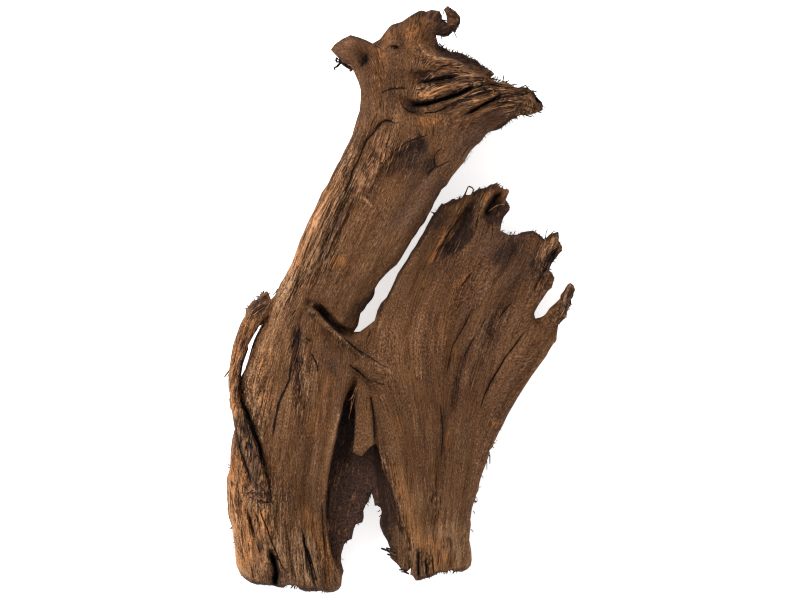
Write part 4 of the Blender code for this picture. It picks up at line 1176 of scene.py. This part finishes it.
def wood_material(name):
    """Root wood that water wore and sun dried: matt, with dark and light fibres and cracks darkened with
    painted shade.
    """
    material = bpy.data.materials.new(name)
    material.use_nodes = True
    tree = material.node_tree
    tree.nodes.clear()
    add = partial(add_node, tree)

    # The soft wood between the fibres is worn away, so the eye sees fine ridges that catch the light, and
    # nothing shines. Widths and lengths of the fibres are in millimetres.
    here = {attribute: add("Attribute", output="Fac", attribute_name=attribute) for attribute in (
        "relief", "torn", "fibrous", "groove", "knuckle", "crack_side", "crack_near",
        "light", "ash", "rust", "bare", "inner_wood_and_recess_shade", "dark_stain_and_crevice_shade")}
    broad = grain_noise(tree, 8.0, 90.0)
    bundles = grain_noise(tree, 2.4, 34.0, 2.0)
    strands = grain_noise(tree, 0.85, 9.0, 2.0)
    threads = grain_noise(tree, 0.65, 22.0, 1.5)
    # Real hairs are finer than a pixel of the picture, so these are as coarse as it takes to show.
    hairs = grain_noise(tree, 0.5, 1.5, 1.5)
    gate = grain_noise(tree, 10.0, 40.0, 1.0)
    split = grain_noise(tree, 2.1, 34.0, 1.5)

    # The fibres stand out by how fibrous the wood is there.
    loud = add("Math", {0: here["fibrous"], 1: 1.1, 2: 0.22}, operation="MULTIPLY_ADD")
    loud = add("Math", {0: loud, 1: 0.08}, operation="MAXIMUM")
    thread_share = add("Math", {0: loud, 1: 0.85}, operation="MULTIPLY")
    hair_share = add("Math", {0: loud, 1: 0.4, 2: 0.62}, operation="MULTIPLY_ADD")
    loud_bundles = add("Math", {0: bundles, 1: loud}, operation="MULTIPLY")
    loud_strands = add("Math", {0: strands, 1: loud}, operation="MULTIPLY")
    loud_threads = add("Math", {0: threads, 1: thread_share}, operation="MULTIPLY")
    loud_hairs = add("Math", {0: hairs, 1: hair_share}, operation="MULTIPLY")

    # Fine checks run along the fibres where the slow noise lets them.
    check = add("Math", {0: split}, operation="ABSOLUTE")
    check = add("Math", {0: check, 1: -7.0, 2: 1.0}, operation="MULTIPLY_ADD", use_clamp=True)
    allowed = add("Math", {0: here["fibrous"], 1: 0.9, 2: gate}, operation="MULTIPLY_ADD", use_clamp=True)
    check = add("Math", {0: check, 1: allowed}, operation="MULTIPLY")

    # The main cracks follow their lines and wander a little.
    wander = weigh(tree, here["crack_side"], (0.25, strands), (0.2, bundles))
    away = add("Math", {0: wander}, operation="ABSOLUTE")
    line = add("Math", {0: 1.15, 1: away}, operation="SUBTRACT", use_clamp=True)
    near = add("Math", {0: here["crack_near"], 1: 1.5}, operation="MULTIPLY")
    line = add("Math", {0: line, 1: near}, operation="MULTIPLY", use_clamp=True)

    # The relief and groove terms darken the low places and lighten the high ones: painted shade in the
    # grooves and hollows. The light term is partly painted highlight.
    tone = weigh(tree, 0.487, (0.075, broad), (0.14, loud_bundles), (0.20, loud_strands),
                 (0.42, loud_threads), (0.26, loud_hairs), (0.06, here["relief"]),
                 (0.05, here["groove"]), (0.20, here["light"]), (-0.12, here["knuckle"]))
    base = add("ValToRGB", {"Fac": tone})
    set_ramp(base, [(0.02, "#2a1b12"), (0.26, "#4a3020"), (0.50, "#6b4931"), (0.74, "#906848"),
                    (1.00, "#c69b74")])
    patch = add("Math", {0: gate, 1: 0.24, 2: 0.14}, operation="MULTIPLY_ADD", use_clamp=True)
    base = add("Mix", {0: patch, 6: base, 7: colour("#7a512f")}, output=2, data_type="RGBA")

    # Each stain is ragged along the fibres and lets their light and shade through, with the painted shade of
    # the grooves and the painted highlight of the rims.
    shade = weigh(tree, 1.0, (0.38, hairs), (0.40, loud_strands), (0.60, loud_threads),
                  (0.10, here["relief"]), (0.08, here["groove"]), (0.26, here["light"]))
    shade = add("Math", {0: shade, 1: 0.3}, operation="MAXIMUM")
    streaks = weigh(tree, 1.0, (0.5, strands), (0.4, threads))
    # Besides the wood's own colour, the inner wood tint paints shade into the cavity and the dark stain tint
    # paints shade into the crevices.
    for stain, tint, strength in (
            ("ash", "#5e473c", 0.7), ("rust", "#9e673b", 0.75), ("bare", "#a67a58", 0.85),
            ("inner_wood_and_recess_shade", "#46322b", 0.95), ("dark_stain_and_crevice_shade", "#31221d", 0.92)):
        ragged = add("Math", {0: here[stain], 1: streaks}, operation="MULTIPLY")
        ragged = add("Math", {0: ragged, 1: 1.5, 2: -0.25}, operation="MULTIPLY_ADD", use_clamp=True)
        share = add("Math", {0: ragged, 1: strength}, operation="MULTIPLY")
        tinted = add("VectorMath", {0: colour(tint)[:3], 3: shade}, operation="SCALE")
        base = add("Mix", {0: share, 6: base, 7: tinted}, output=2, data_type="RGBA")
    # The checks and cracks are painted near black: painted shade in their narrow gaps.
    for crack, tint, strength in ((check, "#20150d", 0.75), (line, "#150d09", 0.95)):
        share = add("Math", {0: crack, 1: strength}, operation="MULTIPLY")
        base = add("Mix", {0: share, 6: base, 7: colour(tint)}, output=2, data_type="RGBA")

    frayed = add("Math", {0: here["torn"], 1: strands}, operation="MULTIPLY")
    height = weigh(tree, 0.0, (0.45, loud_bundles), (0.4, loud_strands), (0.9, loud_threads),
                   (0.42, loud_hairs), (-0.8, check), (-1.6, line), (0.25, frayed))
    bump = add("Bump", {"Strength": 1.0, "Distance": 1.1 * MM, "Height": height})
    surface = add("BsdfPrincipled", {
        "Base Color": base, "Roughness": 0.9, "Normal": bump, "Specular IOR Level": 0.1})
    add("OutputMaterial", {"Surface": surface})
    return material


# How far the wood sinks below the upper face: the painted shade of the cavity and of its black upper end
# grows with it.
SUNK = 4.2
FULLY_SUNK = 10.2
drop = (upper_form(plan) - points[:, 2]) / MM
sunk = np.clip((drop - SUNK) / (FULLY_SUNK - SUNK), 0.0, 1.0)
for name, stains, weakest, strongest in (
        ("inner_wood_and_recess_shade", inner_wood_and_recess_shade, 0.0, 1.0), ("dark_stain_and_crevice_shade", dark_stain_and_crevice_shade, 0.0, 1.5), ("rust", rust, 0.0, 1.5),
        ("ash", ash, 0.0, 1.5), ("bare", bare, 0.0, 1.5), ("light", light, -2.0, 2.9)):
    values = np.clip(strokes(plan, stains), weakest, strongest)
    if name == "inner_wood_and_recess_shade":
        values *= 1.5 * sunk
    if name == "dark_stain_and_crevice_shade":
        values = np.maximum(values, sunk * np.clip(strokes(plan, black_recess_shade), 0.0, 1.0))
    store(driftwood, name, values)
driftwood.data.materials.clear()
driftwood.data.materials.append(wood_material("weathered_root_wood"))
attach(driftwood, "root")
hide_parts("driftwood")

# Loose fibres: thin dry strands and chips that stand out where the wood broke and frayed, still grown on at
# one end. Each has its radius in outline units, its place between the lower face (0) and the upper face (1),
# and its course; from 1 on it lies on the wood.
strands = [
    (0.9, 0.6, [(463, 199), (464, 196), (466, 192), (468, 187), (469.5, 186)]),
    (0.85, 0.7, [(469, 186.3), (472, 187.5), (474, 190), (472, 193), (470, 198)]),
    (1.5, 0.6, [(435, 216), (439, 209), (442.5, 203.5)]),
    (1.2, 0.6, [(448, 205), (452, 200), (455, 199)]),
    (0.9, 0.6, [(476, 194), (479, 188.5), (480, 187)]),
    (0.9, 0.6, [(492, 187), (495, 184), (498, 182.5)]),
    (0.6, 0.6, [(546, 240), (546, 237), (546.5, 232), (548, 229)]),
    (0.6, 0.6, [(551, 236), (552, 233), (554, 231), (557, 231)]),
    (0.5, 0.5, [(498, 222), (501, 222), (504, 222)]),
    (0.5, 0.5, [(498, 231), (501, 231), (505, 230)]),
    (0.8, 0.6, [(502, 84), (503, 81), (504, 75)]),
    (0.8, 0.6, [(504, 85), (505, 83), (509, 80)]),
    (1.0, 0.6, [(518, 91), (519, 88), (526, 85), (528, 88)]),
    (0.6, 0.5, [(540, 105), (543, 106), (545.5, 107)]),
    (0.5, 0.4, [(529, 111), (531, 114), (535, 116.5)]),
    (0.9, 0.75, [(486, 76), (488, 73), (492, 71.5)]),
    (0.9, 0.7, [(507, 88), (511, 85), (517, 84)]),
    (0.8, 0.7, [(522, 91), (526, 88), (529, 86)]),
    (1.0, 0.7, [(529, 93), (533, 90.5), (537, 91.5)]),
    (0.8, 0.6, [(538, 102), (541, 105), (543.5, 109.5)]),
    (0.9, 0.6, [(522, 112), (527, 115), (532, 116.5)]),
    (0.9, 0.6, [(534, 108), (538, 111), (542, 112.5)]),
    (1.7, 0.6, [(449.5, 9.5), (454.5, 12.5), (458.6, 17), (459, 21.5), (457.5, 26)]),
    (1.0, 0.6, [(446, 8.5), (448, 14), (450.5, 20), (452, 26)]),
    (0.9, 0.6, [(441, 20), (445, 20.8), (450, 21.8)]),
    (0.8, 0.6, [(444, 10.5), (446, 11), (448, 12)]),
    (0.6, 0.5, [(452, 29), (454, 32), (457, 38)]),
    (0.6, 0.5, [(442, 33), (441, 36), (442, 40)]),
    (2.0, 0.5, [(435, 27), (439, 30), (444, 33), (450, 34)]),
    (1.6, 0.6, [(437, 33), (443, 36), (449, 35.5)]),
    (1.4, 0.6, [(442, 20), (439, 24), (436, 27)]),
    (0.9, 0.5, [(447, 30), (444, 27), (441, 30), (437, 27)]),
    (0.8, 0.6, [(449, 28), (444, 32), (440, 29), (437, 32)]),
    (0.7, 0.4, [(452, 32), (447, 35), (443, 33), (438, 35)]),
    (1.0, 0.5, [(446, 9), (449, 14), (453, 22), (452, 29)]),
    (0.8, 0.5, [(449, 8), (454, 14), (457, 21), (455, 29)]),
    (2.2, 0.3, [(341, 60), (344, 63.5), (348, 66.5), (351, 69), (350, 71)]),
    (1.8, 0.3, [(339, 58), (342, 62), (346, 65), (349, 67)]),
    (1.4, 0.3, [(337, 57), (336, 60), (337, 61.5), (340, 61)]),
    (1.5, 0.3, [(341, 59.5), (340, 62.5), (337, 66), (334, 67.5), (335, 69.5)]),
    (0.5, 0.4, [(355, 68), (353, 69), (351, 71)]),
    (0.6, 0.5, [(278, 289), (276, 292), (273, 295)]),
    (1.0, 0.5, [(233, 366), (230, 370), (226, 375), (224.5, 377)]),
    (0.5, 0.5, [(232, 371), (229, 374), (227, 378)]),
    (1.8, 0.5, [(396, 556), (391, 553), (387, 551), (381, 549)]),
    (1.3, 0.5, [(396, 552), (391, 550), (386, 548.5)]),
    (1.6, 0.5, [(397, 559), (392, 556), (387, 555)]),
    (1.2, 0.4, [(407, 572), (403, 571), (399, 571)]),
    (1.1, 0.4, [(409, 575), (404, 573), (401, 573)]),
    (0.8, 0.5, [(488, 453), (490, 456), (490, 464)]),
    (0.6, 0.5, [(485, 458), (487, 461), (487, 470)]),
    (0.9, 1.0, [(247, 488), (251, 493), (256, 491), (262, 494), (268, 491)]),
    (0.8, 1.0, [(248, 493), (253, 490), (258, 496), (265, 493), (271, 498)]),
    (0.8, 1.0, [(250, 497), (256, 497), (262, 500), (268, 499)]),
    (0.7, 1.02, [(252, 492), (256, 499), (261, 503), (266, 502)]),
    (0.6, 1.0, [(261, 486), (267, 494), (273, 503)]),
    (0.7, 1.01, [(455, 103), (453, 107), (451, 111)])]
# Lighter strands, in the same way.
pale_strands = [
    (0.35, 0.97, [(356, 387), (352, 398), (351, 410)]),
    (0.3, 0.9, [(358, 385), (353, 402), (349, 418)]),
    (0.3, 0.95, [(360, 388), (354, 395), (349, 400)]),
    (0.6, 1.01, [(380.5, 397), (382.5, 399), (383, 402)]),
    (0.5, 1.01, [(409, 405), (410.5, 407), (410, 409)]),
    (0.6, 1.01, [(256.5, 360), (260, 364), (264.6, 368.6)]),
    (0.6, 1.01, [(432, 78), (436, 75), (440, 77), (438, 73)]),
    (0.5, 1.01, [(430, 74), (434, 76), (439, 74), (442, 76)]),
    (0.42, 0.9, [(489, 211), (493, 208), (497, 205.5), (501, 204), (505, 205)]),
    (0.6, 1.01, [(342, 60.4), (348, 63), (352.7, 66.6), (357, 73.8)]),
    (0.6, 1.02, [(247, 489), (252, 491), (258, 491)]),
    (0.5, 1.02, [(245.5, 499.5), (251, 498), (257, 497)]),
    (0.6, 1.01, [(257, 306.5), (263, 304), (269, 300.5)]),
    (0.5, 1.01, [(251, 313), (256, 308), (262, 302), (268, 296)]),
    (0.45, 1.01, [(254, 315), (259, 311), (265, 307), (270, 303)]),
    (0.5, 1.01, [(249, 309), (254, 304), (260, 300), (265, 295)]),
    (0.5, 1.01, [(243, 492), (249, 494), (255, 491), (261, 495)]),
    (0.5, 1.01, [(242, 497), (248, 494.5), (254, 497), (260, 494)]),
    (0.45, 1.01, [(246, 486), (250, 491), (256, 494), (259, 499)]),
    (0.5, 1.01, [(250, 484), (254, 490), (262, 492), (268, 488)]),
    (0.45, 1.01, [(262, 484), (266, 490), (270, 499)]),
    (0.5, 1.01, [(253, 500), (258, 497), (265, 499), (271, 496)])]
# Fringes of short fibres along torn edges: how many, their length and radius in outline units, which way
# they point on average, and the edge.
fringes = [
    (60, 3.2, 0.33, (0.3, -1.0), [(438, 43), (449, 51), (460, 53), (470, 58), (480, 65), (490, 72)]),
    (30, 3.5, 0.40, (0.9, -0.5), [(492, 78), (504, 82), (515, 88), (527, 90), (536, 96), (542, 104)]),
    (24, 3.5, 0.40, (0.5, 0.9), [(542, 108), (530, 112), (516, 116), (504, 124)]),
    (18, 2.6, 0.40, (0.2, -1.0), [(415, 15), (430, 12), (440, 14), (447, 10), (456, 14)]),
    (16, 2.6, 0.40, (0.9, 0.4), [(459, 20), (456, 30), (444, 35), (436, 35)]),
    (26, 2.6, 0.35, (-0.7, -0.7), [(430, 216), (441, 206), (456, 200), (474, 192), (490, 186)]),
    (20, 2.6, 0.35, (0.8, -0.5), [(497, 184), (507, 190), (506, 200), (509, 210), (502, 222)]),
    (26, 2.4, 0.33, (0.2, -1.0), [(502, 232), (520, 234), (534, 231), (544, 239), (558, 232)]),
    (18, 2.4, 0.33, (0.9, 0.2), [(561, 238), (560, 252), (549, 268), (554, 279), (544, 296)]),
    (14, 2.6, 0.35, (0.5, 0.9), [(572, 300), (566, 316), (558, 325)]),
    (40, 3.0, 0.40, (0.0, 1.0), [(412, 577), (424, 579), (440, 573), (456, 572), (470, 566)]),
    (54, 2.8, 0.40, (-0.1, 1.0), [(241, 575), (256, 584), (280, 586), (302, 590), (324, 592),
                                  (340, 588)]),
    (16, 2.6, 0.38, (-0.9, 0.3), [(236, 560), (230, 515), (228, 480), (232, 440)]),
    (24, 3.0, 0.38, (-0.4, -0.9), [(246, 310), (254, 302), (264, 292), (270, 295)]),
    (12, 2.0, 0.33, (0.5, 0.9), [(341, 570), (343, 548), (352, 532), (364, 515), (372, 494)]),
    (12, 2.0, 0.33, (-0.9, 0.4), [(375, 500), (381, 520), (390, 548), (398, 565), (410, 576)]),
    (14, 2.6, 0.35, (0.1, 1.0), [(352, 450), (360, 455), (368, 450), (376, 441)]),
    (18, 2.6, 0.35, (-0.7, 0.8), [(380, 458), (388, 484), (398, 510), (408, 534)]),
    (14, 2.4, 0.33, (0.8, 0.4), [(471, 545), (477, 495), (490, 452), (505, 420)]),
    (16, 2.4, 0.33, (0.7, 0.6), [(503, 127), (488, 133), (476, 146), (462, 164)])]
# Fibres that lie on the surface: how many pale and dark ones, half width of their band, their length and
# radius in outline units, and the band's middle line.
surface_fibres = [
    (100, 60, 13, 30, 0.34, [(388, 126), (352, 190), (326, 240), (296, 296)]),
    (60, 20, 8, 24, 0.34, [(392, 140), (376, 164), (358, 188)]),
    (70, 40, 14, 26, 0.30, [(278, 316), (264, 350), (256, 400), (262, 450)]),
    (130, 36, 17, 28, 0.34, [(240, 450), (244, 500), (256, 540), (268, 570)]),
    (50, 30, 16, 22, 0.34, [(300, 540), (322, 572)]),
    (50, 30, 5, 20, 0.36, [(254, 322), (240, 350), (236, 390), (240, 420)]),
    (24, 50, 5, 24, 0.34, [(241, 420), (250, 455), (262, 490)]),
    (110, 90, 14, 34, 0.34, [(420, 92), (460, 88), (500, 96), (530, 103)]),
    (40, 30, 7, 12, 0.42, [(500, 92), (534, 104)]),
    (30, 30, 8, 18, 0.34, [(408, 66), (440, 66), (470, 70)]),
    (30, 20, 14, 18, 0.28, [(372, 60), (376, 90), (384, 108)]),
    (50, 24, 14, 24, 0.32, [(444, 565), (440, 530), (432, 500)]),
    (50, 20, 6, 24, 0.30, [(384, 455), (398, 500), (410, 545)]),
    (4, 40, 12, 22, 0.32, [(486, 196), (462, 226), (440, 256)]),
    (12, 24, 12, 22, 0.32, [(556, 240), (535, 280)]),
    (8, 14, 5, 18, 0.34, [(571, 290), (560, 322)]),
    (2, 40, 8, 16, 0.32, [(392, 158), (412, 150), (430, 142)]),
    (24, 24, 6, 24, 0.32, [(299, 322), (299, 360), (300, 410)]),
    (60, 40, 26, 9, 0.20, [(400, 170), (370, 230), (340, 290)]),
    (40, 40, 32, 9, 0.18, [(310, 330), (304, 420), (300, 530)]),
    (30, 60, 52, 9, 0.18, [(490, 250), (452, 340), (432, 480)])]


def strand_height(plan, share):
    """Height of a point at a share of the wood's thickness there."""
    low = lower_form(plan)
    return low + (upper_form(plan) - low) * share


def strand_course(name):
    """A curve that becomes thin strands."""
    course = bpy.data.curves.new(name, "CURVE")
    course.dimensions = "3D"
    course.bevel_depth = MM
    course.bevel_resolution = 0
    course.use_fill_caps = True
    return course


def add_strand(course, places, radii):
    """Add one strand through places, with a radius in millimetres at each."""
    spline = course.splines.new("POLY")
    spline.points.add(len(places) - 1)
    for point, place, radius in zip(spline.points, places, radii):
        point.co = (*place, 1.0)
        point.radius = radius


def add_drawn(course, drawn):
    """Add the strands that are drawn one by one."""
    for radius, share, line in drawn:
        plan = to_plan(line)
        heights = strand_height(plan, share)
        if share < 0.9:
            heights[:] = heights[0]
        if share >= 1.0:
            for place, (x, y) in enumerate(plan):
                hit = wood_tree.ray_cast((x, y, 0.2), (0.0, 0.0, -1.0))[0]
                if hit is not None:
                    heights[place] = hit.z + 0.6 * radius * UNIT
        taper = np.linspace(1.0, 0.55, len(line))
        add_strand(course, np.column_stack((plan, heights)), radius * UNIT / MM * taper)


def fibre_heading(plan):
    """Which way the fibres run."""
    reach = 1.5 * UNIT
    across = np.column_stack((
        fibre_level(plan + (reach, 0.0)) - fibre_level(plan - (reach, 0.0)),
        fibre_level(plan + (0.0, reach)) - fibre_level(plan - (0.0, reach))))
    across /= np.linalg.norm(across, axis=1)[:, None] + 1e-12
    return np.column_stack((-across[:, 1], across[:, 0]))


def crack_gap(plan):
    """Distance from the nearest of the main cracks."""
    gap = np.full(len(plan), 1.0)
    for depth, _, line in cracks:
        if depth >= DEEP_CRACK:
            gap = np.minimum(gap, follow(plan, line)[0])
    return gap


def lay_fibres(course, count, half_width, length, radius, line, random):
    """Lay fibres on the surface along its grain, sunk at their ends, a few of them lifting off."""
    corners = to_plan(line)
    steps = np.linalg.norm(np.diff(corners, axis=0), axis=1)
    reach = np.concatenate(([0.0], np.cumsum(steps)))
    at = random.uniform(0.0, reach[-1], count)
    start = np.column_stack([np.interp(at, reach, corners[:, i]) for i in (0, 1)])
    ahead = np.column_stack([np.interp(at + MM, reach, corners[:, i]) for i in (0, 1)])
    behind = np.column_stack([np.interp(at - MM, reach, corners[:, i]) for i in (0, 1)])
    start += random.normal(0.0, 0.5 * half_width * UNIT, (count, 2))
    heading = ahead - behind
    stride = FIBRE_STRIDE * UNIT
    number = max(4, round(length / FIBRE_STRIDE))
    course_points = [start]
    turn = random.normal(0.0, 0.10, count)
    for _ in range(number - 1):
        run = fibre_heading(course_points[-1])
        run *= np.where((run * heading).sum(axis=1) < 0.0, -1.0, 1.0)[:, None]
        turn = 0.8 * turn + random.normal(0.0, 0.08, count)
        run = np.column_stack((run[:, 0] - turn * run[:, 1], run[:, 1] + turn * run[:, 0]))
        course_points.append(course_points[-1] + run * stride)
        heading = run
    tracks = np.stack(course_points, axis=1)
    clear = (crack_gap(tracks.reshape(-1, 2)) > 1.8 * UNIT).reshape(count, -1)
    share = random.uniform(0.35, 1.0, count)
    lifted = random.uniform(0.0, 1.0, count) < 0.12
    for track, free, part, lifts in zip(tracks, clear, share, lifted):
        places = []
        for (x, y), open_here in list(zip(track, free))[:max(4, round(part * number))]:
            hit = wood_tree.ray_cast((x, y, 0.2), (0.0, 0.0, -1.0))[0]
            if hit is None or not open_here or (places and abs(hit.z - places[-1][2]) > 1.3 * stride):
                break
            places.append([x, y, hit.z])
        if len(places) < 4:
            continue
        places = np.array(places)
        swell = np.sin(np.linspace(0.12, 1.0, len(places)) * math.pi)
        thick = radius * UNIT / MM * random.uniform(0.6, 1.5)
        places[:, 2] += (1.1 * swell - 0.7) * thick * MM
        if lifts:
            places[:, 2] += np.linspace(0.0, 1.0, len(places))**3 * 1.6 * MM
        add_strand(course, places, thick * (0.35 + 0.65 * swell))


def strand_piece(course, stops):
    """Make the strands' mesh. Dry torn root wood is matt, and patches of a few mm differ in brown."""
    name = course.name
    piece = link_object(name, course)
    depsgraph = bpy.context.evaluated_depsgraph_get()
    mesh = bpy.data.meshes.new_from_object(piece.evaluated_get(depsgraph))
    bpy.data.objects.remove(piece)
    piece = link_object(name, mesh)
    material = bpy.data.materials.new(name + "_wood")
    material.use_nodes = True
    tree = material.node_tree
    tree.nodes.clear()
    spread = add_node(tree, "TexNoise", {
        "Vector": add_node(tree, "TexCoord", output="Object"), "Scale": 1000 / 3.846,
        "Detail": 1.0}, output="Fac")
    browns = add_node(tree, "ValToRGB", {"Fac": spread})
    set_ramp(browns, stops)
    surface = add_node(tree, "BsdfPrincipled", {
        "Base Color": browns, "Roughness": 0.85, "Specular IOR Level": 0.15})
    add_node(tree, "OutputMaterial", {"Surface": surface})
    piece.data.materials.append(material)
    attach(piece, "root")


FIBRE_STRIDE = 2.4
DEEP_CRACK = 3.5
wood_tree = BVHTree.FromObject(driftwood, bpy.context.evaluated_depsgraph_get())
dark_course = strand_course("loose_fibres")
pale_course = strand_course("pale_fibres")
add_drawn(dark_course, strands)
add_drawn(pale_course, pale_strands)
random = np.random.RandomState(17)
for pale, dark, half_width, length, radius, line in surface_fibres:
    lay_fibres(pale_course, pale, half_width, length, radius, line, random)
    lay_fibres(dark_course, dark, half_width, length, radius, line, random)

random = np.random.RandomState(7)
for count, length, radius, heading, line in fringes:
    edge = to_plan(line)
    lengths = np.linalg.norm(np.diff(edge, axis=0), axis=1)
    reach = np.concatenate(([0.0], np.cumsum(lengths)))
    for _ in range(count):
        at = random.uniform(0.0, reach[-1])
        root = np.array([np.interp(at, reach, edge[:, 0]), np.interp(at, reach, edge[:, 1])])
        turn = math.atan2(-heading[1], heading[0]) + random.normal(0.0, 0.45)
        bend = random.normal(0.0, 0.5)
        run = length * UNIT * random.uniform(0.4, 1.25)
        out = np.array([math.cos(turn), math.sin(turn)])
        side = np.array([-out[1], out[0]])
        plan = np.array([root - out * 2.2 * UNIT, root + out * 0.4 * run + side * bend * 0.15 * run,
                         root + out * run + side * bend * run * 0.5])
        height = strand_height(plan[:1], random.uniform(0.4, 0.62))[0]
        lift = random.normal(0.0, 0.25) * run
        places = np.column_stack((plan, [height, height + 0.3 * lift, height + lift]))
        places[:, 2] = np.maximum(places[:, 2], 0.3 * MM)
        thick = radius * UNIT / MM * random.uniform(0.8, 1.7)
        add_strand(dark_course, places, [thick, thick * 0.8, thick * 0.35])

strand_piece(dark_course, [(0.35, "#1a110c"), (0.52, "#33221a"), (0.68, "#5a402f")])
strand_piece(pale_course, [(0.36, "#573a28"), (0.50, "#81583c"), (0.64, "#a87b57")])

# The floor: white studio paper, smooth and matt, lit until it is nearly blank. It isn't part of the root,
# which only rests on it.
shape = bmesh.new()
bmesh.ops.create_grid(shape, x_segments=1, y_segments=1, size=30.0)
floor = new_piece("floor", shape)
paper = bpy.data.materials.new("white_paper")
paper.use_nodes = True
paper_inputs = paper.node_tree.nodes["Principled BSDF"].inputs
paper_inputs["Base Color"].default_value = colour("#f6f6f6")
paper_inputs["Roughness"].default_value = 0.9
paper_inputs["Emission Color"].default_value = (1, 1, 1, 1)
paper_inputs["Emission Strength"].default_value = 0.62
floor.data.materials.append(paper)

# Light and camera: a large soft light from the upper left and white light all round, as in a photo studio,
# and a long lens straight above the root.
world = bpy.data.worlds.new("studio")
world.use_nodes = True
world.node_tree.nodes["Background"].inputs["Color"].default_value = (1.0, 1.0, 1.0, 1.0)
world.node_tree.nodes["Background"].inputs["Strength"].default_value = 0.8
bpy.context.scene.world = world
lamp = bpy.data.lights.new("soft_box", "AREA")
lamp.size = 0.7
lamp.energy = 22.0
soft_box = link_object("soft_box", lamp)
soft_box.location = (-0.75, 0.80, 1.35)
soft_box.rotation_euler = (-soft_box.location).to_track_quat("-Z", "Y").to_euler()
CAMERA_HEIGHT = 6.0
ROOT_MIDDLE_HEIGHT = 0.045
PICTURE_WIDTH = 800 * UNIT
lens = bpy.data.cameras.new("camera")
lens.sensor_width = 36.0
lens.lens = lens.sensor_width * CAMERA_HEIGHT / PICTURE_WIDTH
lens.clip_end = 100.0
camera = link_object("camera", lens)
camera.location = (-UNIT, 0.0, CAMERA_HEIGHT + ROOT_MIDDLE_HEIGHT)
bpy.context.scene.camera = camera
bpy.context.scene.view_settings.view_transform = "Standard"
bpy.context.scene.cycles.filter_width = 1.2
